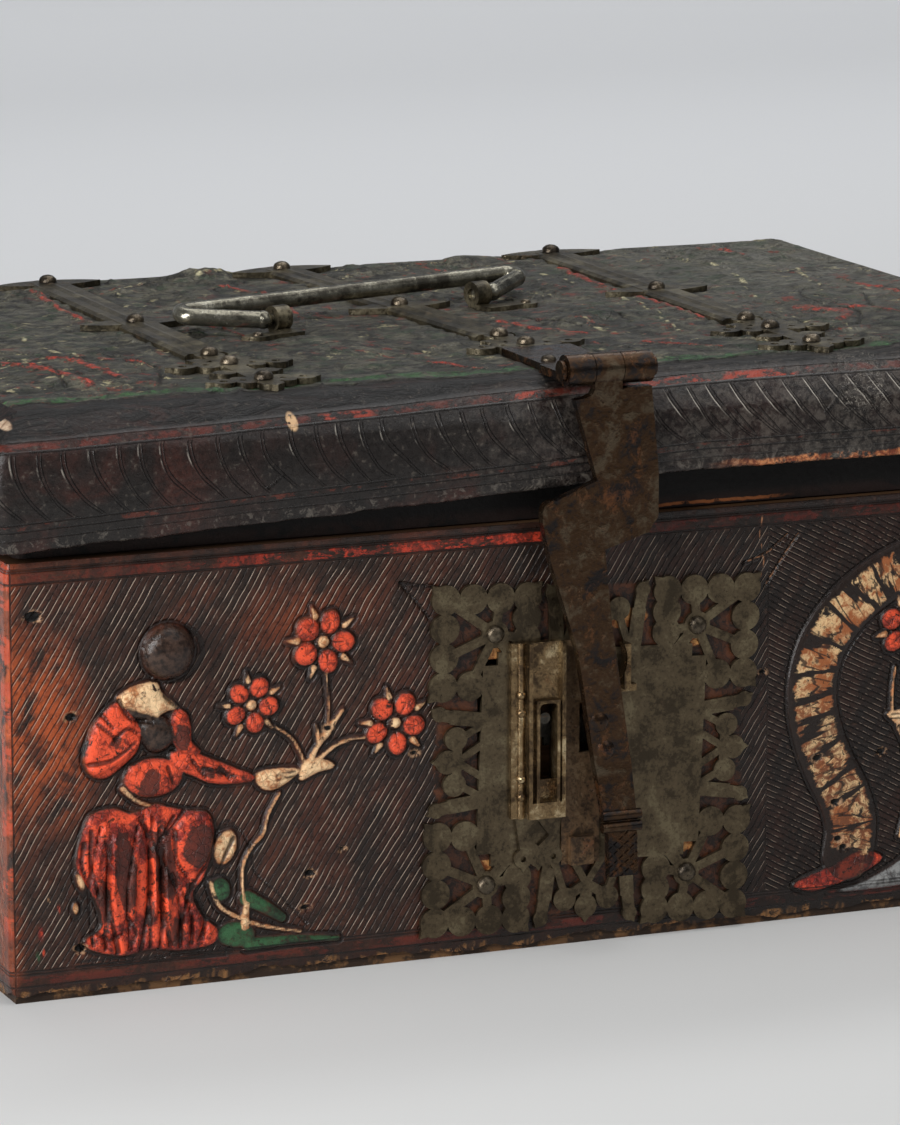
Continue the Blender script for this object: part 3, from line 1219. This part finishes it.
warp = clouds(u, v, 46.0, 5, 2) * 0.22 + clouds(u, v, 7.0, 9, 3) * 0.12
flat_v = v * 0
outer, inner = hang(
    v, front.height + warp, corner_wrap(u), 0.55 + 0.45 * clouds(u, flat_v, 6.0, 12),
    1.3 + 1.6 * clouds(u, flat_v, 9.0, 21) + 0.7 * clouds(u, flat_v, 2.2, 22))
cu, cv = (u[:-1, :-1] + u[1:, 1:]) / 2, (v[:-1, :-1] + v[1:, 1:]) / 2
keep = ~((cu > RECESS[0]) & (cu < RECESS[1]) & (cv > RECESS[2]) & (cv < RECESS[3]))
fields = dict(front.fields, along=u, edge=HALF_LENGTH - np.abs(u))
front_leather = skin("front_leather", outer, inner, CASE_LEATHER, fields, keep)
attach(front_leather, "case")
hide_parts("leather_front")

# %% [markdown]
# ## Sides and back
# One wrap covers the other three faces. Nobody sees them in the picture, so they get
# the same hatching and frame with a plain rose tree on each side.

# %% Build the side and back leather
WRAP_CELL = 1.15
TREE_MIDDLE = -74.0
STOUT_STEMS = 0.55
side_run = 2 * HALF_DEPTH - RETURN - CORNER
wrap_total = side_run + 2 * HALF_LENGTH + side_run


def wrap_place(w):
    """Place along left side, back and right side, seen from outside."""
    a = HALF_DEPTH - side_run
    b = side_run
    c = b + 2 * HALF_LENGTH
    x = np.where(w < b, -HALF_LENGTH, np.where(w < c, w - b - HALF_LENGTH, HALF_LENGTH))
    y = np.where(w < b, a + w, np.where(w < c, HALF_DEPTH, HALF_DEPTH - (w - c)))
    bx, by = HALF_LENGTH - CORNER, HALF_DEPTH - CORNER
    kx = np.clip(x, -bx, bx)
    ky = np.minimum(y, by)
    dx, dy = x - kx, y - ky
    size = np.maximum(np.hypot(dx, dy), 1e-9)
    nx, ny = dx / size, dy / size
    return kx + nx * CORNER, ky + ny * CORNER, nx, ny


w, v = np.meshgrid(np.linspace(0.0, wrap_total, int(wrap_total / WRAP_CELL)),
                   np.linspace(LEATHER_LOW, BODY_TOP, int((BODY_TOP - LEATHER_LOW) / WRAP_CELL)))
wrap = Picture(w, v)
for middle, flip in ((side_run / 2, 1), (wrap_total - side_run / 2, -1)):
    rose_tree(wrap, Sheet((w - middle) * flip + TREE_MIDDLE, v), STOUT_STEMS)
wrap.fields["worn"] = 0.5 * ease(w, 10, 0) + 0.5 * ease(w, wrap_total - 8, wrap_total)
warp = clouds(w, v, 40.0, 61, 2) * 0.2 + clouds(w, v, 7.0, 65, 3) * 0.12
behind = ease(w, side_run + 8, side_run + 20) * ease(-w, -wrap_total + side_run + 8,
                                                     -wrap_total + side_run + 20)
outer, inner = hang(
    v, wrap.height + warp * (1.0 - 0.8 * behind) - 0.12 * behind, wrap_place(w), 0.5,
    0.9 + 1.4 * clouds(w, v * 0, 8.0, 71))
corner_gap = np.minimum(np.abs(w - side_run), np.abs(w - side_run - 2 * HALF_LENGTH))
corner_gap = np.minimum(corner_gap, np.minimum(w, wrap_total - w) + RETURN)
fields = dict(wrap.fields, along=w - wrap_total, edge=corner_gap)
wrap_leather = skin("wrap_leather", outer[:, ::-1], inner[:, ::-1], CASE_LEATHER,
                    {k: f[:, ::-1] for k, f in fields.items()})
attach(wrap_leather, "case")
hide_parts("leather_left", "leather_right", "leather_back")

# %% [markdown]
# ## The lid's leather
# The lid's leather is darker and more worn. Its front band carries a row of curved
# double lines, which the material draws from two stored lengths: how far along the
# edge a point is, and how high it stands on the band.


# %% Leather of the lid
SCALLOP, NET = 6.6, 5.2
BAND_RULES = ((0.32, 7.4, 1.0), (0.32, 5.6, 1.0), (0.30, 3.4, 0.6))


def lid_leather():
    g = Graph("lid_leather")
    p, x, y, z = g.place()
    along, up, rim, above, top, stain = g.attributes(
        "along", "up", "rim", "above", "top", "stain")
    red, cream, green, line, worn, tear = g.attributes(
        "red", "cream", "green", "line", "worn", "tear")
    broad = g.noise(p, 24.0, 4.0, 0.6, 0.5)
    cloud = g.noise(p, 6.5, 5.0, 0.64, 0.5)
    fine = g.noise(p, 1.5, 5.0, 0.64)
    grain = g.noise(p, 0.4, 3.0, 0.6)
    scrape = g.noise(p, 2.8, 6.0, 0.72, 0.8)
    drawn = g.noise((x * 0.35, y, z), 4.0, 5.0, 0.66, 1.0)
    side = 1.0 - top
    front = y.below(-88.0, -80.0)

    ruddy = (x.near(-128.0, 18.0, 30.0) + x.near(-45.0, 12.0, 24.0)).clip()
    base = g.mix(broad.above(0.40, 0.62) * (0.25 + 0.75 * ruddy), (33, 29, 27),
                 (62, 35, 29))
    bevel = above.above(2.2, 3.4)
    base = g.layers(
        base,
        (cloud.above(0.44, 0.64) * 0.5, (25, 22, 21)),
        (x.above(-52.0, 8.0) * scrape.above(0.42, 0.60) * 0.34, (112, 104, 96)),
        (bevel * (0.42 + 0.54 * drawn.above(0.44, 0.54)), (8, 7, 7)),
    )
    far_right = x.above(10.0, 140.0) * y.above(-70.0, 40.0)
    moss = g.noise((x + 90.0, y, z), 7.0, 5.0, 0.74).above(0.54, 0.60)
    ochre = g.noise((x * 0.7, y + 70.0, z), 4.2, 5.0, 0.78).above(0.60, 0.64)
    rust = g.noise((x, y - 50.0, z), 6.0, 5.0, 0.78).above(0.575, 0.615)
    spread = g.noise((x + 40.0, y - 90.0, z), 42.0, 2.0)
    fleck = spread.near(0.5, 0.03, 0.10) * 0.75 + x.below(-120.0, -70.0) * 0.60
    plain = g.layers(
        (86, 83, 70),
        (cloud.above(0.40, 0.60), (36, 34, 29)),
        (broad.above(0.47, 0.56) * 0.75, (36, 35, 30)),
        (drawn.above(0.50, 0.66) * 0.40, (128, 123, 104)),
        (far_right * cloud.above(0.38, 0.60) * 0.42, (150, 148, 136)),
        (scrape.below(0.40, 0.47) * 0.75, (18, 17, 14)),
        (moss * 0.60 * spread.above(0.40, 0.54), (46, 62, 42)),
        (rust * 0.85 * spread.below(0.46, 0.60), (124, 52, 36)),
        (ochre * fleck.clip(), (176, 166, 128)),
    )
    base = g.layers(
        base,
        (top, plain),
        (fine.above(0.57, 0.70) * 0.34, (112, 104, 94)),
        (fine.below(0.40, 0.50) * 0.40, (20, 17, 15)),
        (stain * 0.55, (24, 20, 17)),
    )

    sway = (g.noise((along, 0.0, 0.0), 24.0, 2.0) - 0.5) * 9.0
    down = (1.0 - up).most(0.0)
    phase = ((along - down ** 2.1 * 10.0 - down + sway) / SCALLOP).fract()
    pair = ((phase - 0.5).abs() - 0.070).abs() * SCALLOP
    inside = up.between(0.02, 0.16, 0.95, 1.0)
    fade = g.noise(p, 8.0, 3.0).above(0.36, 0.52)
    lobes = pair.below(0.04, 0.22) * inside * (0.25 + 0.75 * fade)
    cross = ((along * 0.72 + up * 9.0) / NET).fract()
    net = cross.near(0.5, 0.02, 0.07) * x.between(28.0, 36.0, 56.0, 66.0)
    net = net * up.between(0.10, 0.20, 0.50, 0.62) * front
    shine = phase.between(0.34, 0.37, 0.39, 0.42) * up.below(0.90, 1.0) * front
    lit_part = (up.above(0.40, 0.66) * x.above(8.0, 16.0)
                + up.above(0.5, 0.7) * cloud.above(0.50, 0.60) * 0.5).clip()
    shine = shine * lit_part * (0.3 + 0.7 * fade)
    scribble = g.noise(p, 3.4, 2.0, 0.5, 2.5).near(0.5, 0.006, 0.03)
    scribble = scribble * x.between(69.0, 73.0, 82.0, 86.0) * up.above(0.3, 0.6) * front
    base = g.layers(
        base,
        (lobes * 0.72, (20, 16, 14)),
        (net * 0.6, (22, 18, 16)),
        (shine * 0.85, (186, 178, 166)),
        (scribble * side * 0.45, (170, 162, 150)),
    )

    shred = g.noise((x, y, z * 2.0), 6.0, 5.0, 0.74)
    strip = above.between(0.3, 0.6, 1.7, 2.3) * side
    seen = 0.22 + 0.78 * x.between(10.0, 17.0, 60.0, 68.0)
    seen = (seen + 0.6 * x.near(-66.0, 6.0, 9.0) + 0.7 * x.near(-17.0, 5.0, 8.0)).clip()
    rules = above.near(0.05, 0.10, 0.34) + above.near(2.5, 0.08, 0.30) * 0.7
    for reach, level, share in BAND_RULES:
        rules = rules + rim.near(level, 0.08, reach) * share
    rules = (rules * side).clip() * (0.4 + 0.6 * fade)
    double = rim.between(5.6, 5.9, 7.0, 7.4) * shred.above(0.54, 0.62)
    glints = rim.between(-0.3, 0.3, 2.4, 3.6) * scrape.above(0.54, 0.60) * side
    lip = (rim - 1.1 + (cloud - 0.5) * 2.6).abs().below(0.5, 1.3)
    orange = lip * rim.above(-0.8, 0.0) * x.above(30.0, 54.0) * side * front
    orange = orange * (fine * 0.4 + broad * 0.6).above(0.40, 0.48)
    under = rim.below(-0.9, -0.2) * side
    neck = g.mix(z.below(114.0, 116.5) * cloud.above(0.34, 0.5), (9, 6, 5),
                 (30, 17, 13))
    lit = (z - 113.4 + (cloud - 0.5) * 1.6).abs().below(0.25, 0.55) * x.above(16.0, 26.0)
    lit = under * lit * x.below(50.0, 62.0) * front * cloud.above(0.40, 0.5)
    base = g.layers(
        base,
        (strip * shred.above(0.47, 0.57) * seen * 0.85, (166, 62, 42)),
        (double * 0.40 * side, (120, 54, 38)),
        (rules * 0.75, (18, 14, 12)),
        (glints * 0.30, (132, 124, 114)),
        (orange, g.mix(scrape.above(0.4, 0.6), (118, 56, 32), (216, 140, 90))),
        (under, neck),
        (lit * 0.6, (176, 104, 56)),
    )

    eaten = (fine - 0.5) * 2.8 + (cloud - 0.5) * 2.4
    cover = (scrape * 0.6 + cloud * 0.4).above(0.44, 0.54)

    def paint(under_color, distance, bright, deep, share=1.0):
        on = (distance + eaten * 0.6).above(0.0, 0.6) * cover
        return g.mix(on * share, under_color, g.mix(fine.above(0.4, 0.6), bright, deep))

    color = paint(base, green, (62, 104, 58), (38, 58, 38), 0.9)
    color = paint(color, red, (190, 66, 46), (104, 40, 30), 0.85)
    color = paint(color, cream, (206, 198, 158), (160, 150, 116), 0.9)
    color = g.layers(
        color,
        (worn.above(0.0, 0.6) * fine.above(0.36, 0.5), (206, 168, 126)),
        (tear.above(0.0, 0.5) * cloud.above(0.40, 0.50),
         g.mix(scrape.above(0.4, 0.6), (196, 172, 146), (120, 92, 70))),
        (line.above(-0.3, 0.2) * 0.8, (22, 17, 15)),
    )

    crease = g.cells(p, 4.5, "DISTANCE_TO_EDGE").below(0.0, 0.07) * cloud.above(0.48, 0.60) * top
    height = cloud * (0.8 + top * 2.2) + fine * (0.45 + top * 0.5) + grain * 0.10
    height = height + drawn * (0.4 + top * 2.8 + bevel * side * 2.4)
    height = height - lobes * 1.1 - net * 0.8 - rules * 0.8 - line.above(-0.5, 0.3) * 0.9
    height = height - crease * 0.5 - scribble * side * 0.5
    rough = 0.29 + (fine - 0.5) * 0.32 + (grain - 0.5) * 0.10 + top * 0.12 + under * 0.5
    rough = rough + bevel * side * 0.24
    return g.finish(color, rough, height, 0.50, coat=0.05, specular=0.30)


LID_LEATHER = lid_leather()
print("lid leather:", len(LID_LEATHER.node_tree.nodes), "nodes")

# %% [markdown]
# ## Where iron lies on the lid
# The leather stays low under the straps and may swell between them. The mask below
# is measured from the iron pieces themselves, so it follows the model.

# %% Mask of the iron on the lid
ON_LID = ["strap_left", "strap_middle", "strap_right", "hasp_bracket", "handle_staples",
          "strap_nails", "hinge_lid_leaves"]
CHECKS = 7
SOFTEN = 4
TOP_GAP = TOP_INSET + 1.2
TOP_X, TOP_Y = HALF_LENGTH - TOP_GAP, HALF_DEPTH - TOP_GAP
TOP_COLUMNS, TOP_ROWS = 476, 196


def iron_mask(xs, ys, names, highest, grow):
    """1 where iron lies lower than highest over the point (x, y), else 0."""
    found = np.zeros((len(ys), len(xs)))
    share = [(i / CHECKS, j / CHECKS) for i in range(CHECKS + 1) for j in range(CHECKS + 1 - i)]
    for name in names:
        mesh = nodes[name].data
        mesh.calc_loop_triangles()
        tri = np.zeros(len(mesh.loop_triangles) * 3, np.int32)
        mesh.loop_triangles.foreach_get("vertices", tri)
        corner = corners_of(mesh, np.float32)[tri.reshape(-1, 3)]
        corner = corner[corner[:, :, 2].min(1) < highest]
        for a, b in share:
            spot = corner[:, 0] * a + corner[:, 1] * b + corner[:, 2] * (1 - a - b)
            i = np.searchsorted(xs, spot[:, 0]).clip(0, len(xs) - 1)
            j = np.searchsorted(ys, spot[:, 1]).clip(0, len(ys) - 1)
            found[j, i] = 1.0
    for _ in range(grow):
        wide = found.copy()
        for axis in (0, 1):
            for step in (-1, 1):
                wide = np.maximum(wide, np.roll(found, step, axis))
        found = wide
    for _ in range(SOFTEN):
        found = (found + np.roll(found, 1, 0) + np.roll(found, -1, 0)
                 + np.roll(found, 1, 1) + np.roll(found, -1, 1)) / 5
    return found


xs = np.linspace(-TOP_X, TOP_X, TOP_COLUMNS)
ys = np.linspace(-TOP_Y, TOP_Y, TOP_ROWS)
mask = iron_mask(xs, ys, ON_LID, LID_TOP + 0.6, 2)
print("iron covers", round(100 * float(mask.mean()), 1), "% of the lid's top")

# %% [markdown]
# ## The top sheet
# The top is nearly flat, wrinkled and lumpy, with remains of a painted pattern and a
# folded front edge.

# %% Build the top leather
DASH_STEPS, DASHES_LEFT = 9, 0.72
FRONT_FOLD, GREEN_LINE = -90.6, -86.0
FOLD_STEP, UNDER_IRON = 0.55, 0.10
LID_LEATHER_THICK = 1.4
ON_TOP = {"up": 3.0, "rim": 30.0, "above": 9.0, "tear": FAR, "along": 0.0}
u, v = np.meshgrid(xs, ys)
top = Picture(u, v)
t = top.sheet
front_line = FRONT_FOLD + 1.5 * clouds(u, v * 0, 22.0, 31) + 0.5 * clouds(u, v * 0, 4.0, 33)
top.add("green", 3.2 - np.abs(v - GREEN_LINE + 2.5 * clouds(u, v * 0, 30.0, 35))
        + 1.6 * clouds(u, v, 12.0, 37), solid=False)
for path, a, b in (
    ([(-131, -30), (-126, -52), (-122, -72)], 2.4, 1.6),
    ([(-118, -28), (-114, -50), (-112, -68)], 2.0, 1.4),
    ([(-106, -34), (-98, -48)], 2.0, 1.0), ([(-66, 16), (-60, 2), (-58, -14)], 1.2, 0.8),
    ([(-88, 78), (-90, 40), (-86, 10)], 1.4, 0.9), ([(-36, 70), (-30, 46), (-34, 8)], 1.3, 0.7),
    ([(12, -18), (18, -34), (26, -44)], 1.8, 1.0), ([(30, 80), (36, 60)], 1.3, 0.8),
    ([(66, 66), (64, 30), (66, -30)], 1.5, 1.0), ([(98, -24), (106, -36), (98, -48)], 2.6, 1.4),
    ([(112, -30), (120, -44)], 2.2, 1.2), ([(118, 84), (122, 62)], 1.6, 1.0),
    ([(-30, -70), (-20, -82)], 1.4, 0.8), ([(34, -62), (50, -76)], 1.2, 0.8),
    ([(-140, 60), (-138, 20)], 1.4, 1.0), ([(132, 20), (136, -20)], 1.6, 1.0),
):
    top.add("red", t.stroke(path, a, b), 0.5, 1.5, solid=False)
random.seed(4)
for path in (
    [(-112, 50), (-110, 20), (-116, -4), (-110, -26)], [(-70, 60), (-62, 76), (-52, 88)],
    [(58, 60), (60, 20), (58, -16), (52, -46)], [(88, -50), (92, -18), (104, 30), (112, 70)],
    [(40, -10), (32, -26), (34, -46)], [(-38, 86), (-20, 92), (4, 88)],
    [(128, 40), (120, 10), (112, -6)],
):
    curve = smooth_path(path, DASH_STEPS)
    for a, b in zip(curve[:-1:2], curve[1::2]):
        if random.random() < DASHES_LEFT:
            nudge = [random.uniform(-0.8, 0.8), random.uniform(-0.8, 0.8)]
            top.add("cream", t.stroke([a + nudge, b + nudge], random.uniform(0.5, 1.1)), 0.35,
                    1.0, solid=False)
for cu, cv, ru, rv, rise in (
    (30, -24, 9, 8, 1.5), (40, -16, 7, 6, 1.2), (-44, -46, 16, 10, 0.9), (-118, -50, 20, 22, 1.3),
    (106, -10, 12, 12, 1.0), (22, 46, 9, 12, 0.9), (-50, 30, 12, 14, 0.7), (-124, 60, 14, 20, 0.9),
    (120, 66, 16, 18, 0.9), (-34, 92, 12, 9, 2.4), (48, 88, 10, 8, 1.4),
):
    top.raise_more(t.blob(cu, cv, ru, rv, 15), min(ru, rv), rise)
for path in ([(-132, -20), (-124, -40), (-128, -70)], [(-104, -20), (-96, -46), (-104, -72)],
             [(100, -56), (110, -34), (104, -14), (114, 6)], [(92, -60), (84, -30)],
             [(20, -12), (30, -32), (46, -28), (44, -10), (30, -8)],
             [(-60, -22), (-36, -34), (-22, -56)],
             [(126, -8), (118, -30), (124, -52)], [(10, 20), (24, 34), (20, 60)]):
    top.cut(t.stroke(path, 0.3), 0.5)
for cu, cv in ((110, -12), (-96, -26), (60, 52), (130, 64), (-20, 24)):
    h = t.blob(cu, cv, 1.6, 1.1)
    top.add("line", h, solid=False)
    top.height = top.height - 0.8 * ease(h, -0.5, 0.3)

swell = clouds(u, v, 34.0, 41, 2) * 0.75 + clouds(u, v * 1.4, 10.0, 43, 3) * 0.75
folds = np.abs(clouds(u * 0.8, v * 1.5, 13.0, 45, 3))
swell = swell + 0.9 * np.exp(-(folds / 0.07) ** 2) * (0.4 + 0.6 * clouds(u, v, 30.0, 47, 1))
swell = swell + clouds(u, v, 3.2, 49, 2) * 0.16
border = np.minimum(TOP_X - np.abs(u), TOP_Y - np.abs(v))
free = (1.0 - mask) * ease(border, 0.0, 5.0)
fold_step = FOLD_STEP * ease(v - front_line, 0.0, 0.7) * (1.0 - mask)
relief = (top.height + swell) * free - UNDER_IRON * mask + fold_step * ease(border, 0.0, 1.0)
top_points = np.stack([u, v, LID_TOP + relief], -1)
fields = {**{k: np.full(u.shape, value) for k, value in ON_TOP.items()},
          **{k: top.fields[k] for k in ("red", "cream", "green", "line", "worn")},
          "top": ease(v - front_line, -0.6, 0.4), "stain": mask}
fields["line"] = np.maximum(fields["line"], 0.5 - np.abs(v - front_line))
top_leather = skin("top_leather", top_points, top_points - [0, 0, LID_LEATHER_THICK],
                   LID_LEATHER, fields)
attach(top_leather, "lid")
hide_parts("lid_leather")

# %% [markdown]
# ## The band round the lid
# The ring of points on the top sheet's edge is carried outward and down: over the
# bevel, round the full band, under the lip and up to the neck. The lower edge climbs
# from left to right, as the old lid does.

# %% Build the band leather
BEVEL_STEPS, BAND_STEPS, LIP_STEPS, NECK_STEPS = 11, 30, 5, 4
FULLEST, FALL = BAND_TOP - 11.0, 22.0
LIP = 1.0
BULGE_ROW = 20
SCALLOP_TOP, SCALLOP_CLIMB, SCALLOP_LOW = 140.2, 4.8, 6.6
CLIMB_FROM, CLIMB_RUN = -141.0, 171.0
DENT_AT, DENT_SIZE, DENT_DEPTH = (-92, 122), (14.0, 5.0), 0.7
front_edge = np.stack([xs, np.full(len(xs), -TOP_Y)], -1)
right_edge = np.stack([np.full(len(ys), TOP_X), ys], -1)
ring = np.concatenate([front_edge[:-1], right_edge[:-1], -front_edge[:-1], -right_edge])


def rim_level(x):
    return lerp(RIM_LEFT, RIM_RIGHT, np.clip((x + HALF_LENGTH) / (RIM_BEND + HALF_LENGTH), 0, 1))


def rim_offset(z):
    return RIM_BULGE * (1.0 - ((z - FULLEST) / FALL) ** 2)


def lid_ring(offset, radius):
    """The edge ring carried out by offset, with rounded corners."""
    size = np.stack([HALF_LENGTH + offset, HALF_DEPTH + offset], -1)
    spot = ring / [TOP_X, TOP_Y] * size
    kept = np.clip(spot, -(size - radius), size - radius)
    away = spot - kept
    length = np.maximum(np.hypot(away[:, 0], away[:, 1]), 1e-9)[:, None]
    return kept + np.where(length > 1e-6, away / length * radius, 0.0)


level = rim_level(ring[:, 0] / TOP_X * HALF_LENGTH)
one = np.ones(len(ring))
profile = [(one * -TOP_GAP, one * LID_TOP, 0.001)]
for k in range(BEVEL_STEPS):
    f = k / BEVEL_STEPS
    sag = 0.5 * math.sin(math.pi * f)
    profile.append((one * (lerp(-TOP_INSET, rim_offset(BAND_TOP), f) + sag),
                    one * (lerp(LID_TOP - 0.6, BAND_TOP, f) + sag), 1.0 + 3.5 * f))
for k in range(BAND_STEPS + 1):
    z = lerp(BAND_TOP, level + LIP, k / BAND_STEPS)
    profile.append((rim_offset(z), z, 5.0))
lip_middle = rim_offset(level + LIP) - LIP
for k in range(1, LIP_STEPS + 1):
    a = math.pi / 2 * k / LIP_STEPS
    profile.append((lip_middle + LIP * math.cos(a), level + LIP * (1.0 - math.sin(a)), 5.0))
profile.append((lerp(lip_middle, NECK, 0.5), level, 4.0))
for k in range(NECK_STEPS + 1):
    profile.append((one * NECK, lerp(level, SEAM + 0.15, k / NECK_STEPS), 3.0))
flat = np.array([np.column_stack([lid_ring(o, r), z]) for o, z, r in profile])
along_ring = np.concatenate([[0], np.cumsum(np.hypot(*np.diff(flat[BULGE_ROW, :, :2], axis=0).T))])
along_ring = along_ring - along_ring[len(xs) // 2]
normal = np.cross(np.gradient(flat, axis=1), np.gradient(flat, axis=0))
normal /= np.maximum(np.linalg.norm(normal, axis=-1, keepdims=True), 1e-9)
normal *= -np.sign(normal[BULGE_ROW, 10, 1])
print("band rows", len(profile), "columns", len(ring))

x, y, z = flat[..., 0], flat[..., 1], flat[..., 2]
rows = np.arange(len(profile))[:, None] + np.zeros(x.shape)
last_band = 1 + BEVEL_STEPS + BAND_STEPS
along = np.broadcast_to(along_ring, x.shape)
closed = np.sin(math.pi * np.clip(rows / 3.0, 0, 0.5)) * ease(len(profile) - 1 - rows, 0, 4)
bumps = clouds(along, z, 38.0, 51, 2) * 0.35 + clouds(along, z * 1.5, 8.0, 53, 3) * 0.22
dent = DENT_DEPTH * np.exp(-((along - DENT_AT[0]) / DENT_SIZE[0]) ** 2
                           - ((z - DENT_AT[1]) / DENT_SIZE[1]) ** 2)
pushed = (bumps - dent) * closed
rag = np.exp(-((rows - last_band - 2) / 4.0) ** 2)
pushed = pushed + rag * 0.4 * clouds(along, z * 0, 3.5, 57)
band_points = flat + normal * pushed[..., None]
band_points[..., 2] += rag * 0.5 * clouds(along, z * 0, 16.0, 59)
is_front = ease(-y, 60.0, 90.0)
climb = np.clip((x - CLIMB_FROM) / CLIMB_RUN, 0, 1)
scallop_top = SCALLOP_TOP + SCALLOP_CLIMB * climb * is_front
scallop_low = level + SCALLOP_LOW
up = (z - scallop_low) / (scallop_top - scallop_low)
above = np.where(rows < last_band, z - scallop_top, -9.0)
rim = np.where(rows <= last_band + LIP_STEPS, z - level, -3.0)
p = Sheet(x, z)
seen = y < -60.0
spot = np.where(seen, p.blob(-80, 143.0, 1.7, 2.6, 8), FAR)
torn = np.where((x < -140) & (y < -92), p.blob(-154, 147.0, 2.6, 1.8, -30), FAR)
scratch = np.where(seen, np.maximum(p.stroke([(-88, 127), (-83.8, 130.2)], 0.25),
                                    p.stroke([(66, 136), (74, 142), (80, 138)], 0.3)), FAR)
none, zero = np.full(x.shape, FAR), np.zeros(x.shape)
fields = {"along": along, "up": up, "rim": rim, "above": above, "line": scratch,
          "worn": spot, "tear": torn, "top": zero, "stain": zero,
          "red": none, "cream": none, "green": none}
band_leather = skin("band_leather", band_points, band_points - normal * LID_LEATHER_THICK,
                    LID_LEATHER, fields)
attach(band_leather, "lid")

# %% [markdown]
# ## Floor, light and camera
# A pale sweep stands behind the casket, as in a photo studio. The fill, overhead and
# backdrop lamps are large and soft. The key and the edge lamp on the left are smaller,
# so that the tooling catches light. The camera's place was fitted to the photograph.

# %% Stage
SWEEP_FRONT, SWEEP_BEND, SWEEP_RADIUS, SWEEP_SIDE = -3.2, 1.70, 1.20, 4.5
SWEEP_ARC, SWEEP_STEPS = math.radians(70), 24
AIR, AIR_STRENGTH = (0.9, 0.95, 1.0, 1.0), 0.13
CAMERA_PLACE = (-0.5669, -1.3895, 0.3885)
AZIMUTH, ELEVATION = math.radians(-22.36), math.radians(11.56)
SENSOR, LENS = 36.0, 179.8
sweep = [(SWEEP_FRONT, 0.0), (SWEEP_BEND, 0.0)]
for k in range(1, SWEEP_STEPS + 1):
    a = SWEEP_ARC * k / SWEEP_STEPS
    sweep.append((SWEEP_BEND + SWEEP_RADIUS * math.sin(a), SWEEP_RADIUS * (1 - math.cos(a))))
mesh = bpy.data.meshes.new("studio_sweep")
corners = [(side * SWEEP_SIDE, y, z) for y, z in sweep for side in (-1, 1)]
mesh.from_pydata(corners, [], [(2 * k, 2 * k + 1, 2 * k + 3, 2 * k + 2)
                               for k in range(len(sweep) - 1)])
mesh.polygons.foreach_set("use_smooth", [True] * len(mesh.polygons))
floor = add_object("studio_sweep", mesh)
g = Graph("studio_paper")
y, z = g.place()[2:]
paper = g.layers(
    (214, 214, 213),
    (y.above(150.0, 1500.0), (244, 245, 247)),
    (z.above(14.0, 120.0), (180, 181, 185)),
)
floor.data.materials.append(g.finish(paper, 0.85, specular=0.1))


def aim(item, away):
    """Turns a lamp or camera so that it looks against the vector away."""
    item.rotation_mode = "QUATERNION"
    item.rotation_quaternion = (-Vector(away)).to_track_quat("-Z", "Y")


def lamp(name, place, target, size, watts):
    data = bpy.data.lights.new(name, "AREA")
    data.shape = "RECTANGLE"
    data.size, data.size_y = size
    data.energy = watts
    item = add_object(name, data)
    item.location = place
    aim(item, Vector(place) - Vector(target))


middle = (0.0, 0.0, 0.08)
lamp("key", (-1.30, -1.05, 1.05), middle, (0.40, 0.45), 16.5)
lamp("edge", (-1.45, -0.50, 0.42), middle, (0.22, 0.8), 14.0)
lamp("overhead", (0.35, -0.25, 1.6), middle, (1.4, 0.9), 7.5)
lamp("fill", (1.0, -1.5, 1.5), middle, (1.1, 1.0), 4.5)
lamp("backdrop", (0.9, 1.2, 2.0), (0.8, 1.7, 0.0), (2.6, 0.8), 21.0)
world = bpy.data.worlds.new("studio_air")
world.use_nodes = True
background = world.node_tree.nodes["Background"]
background.inputs["Color"].default_value = AIR
background.inputs["Strength"].default_value = AIR_STRENGTH
bpy.context.scene.world = world

camera = add_object("photo_camera", bpy.data.cameras.new("photo_camera"))
camera.location = CAMERA_PLACE
aim(camera, (math.sin(AZIMUTH) * math.cos(ELEVATION), -math.cos(AZIMUTH) * math.cos(ELEVATION),
             math.sin(ELEVATION)))
camera.data.sensor_width, camera.data.lens = SENSOR, LENS
camera.data.clip_start, camera.data.clip_end = 0.1, 20.0
bpy.context.scene.camera = camera
bpy.context.scene.view_settings.view_transform = "Standard"
print("stage set, camera at", [round(c, 3) for c in camera.location])
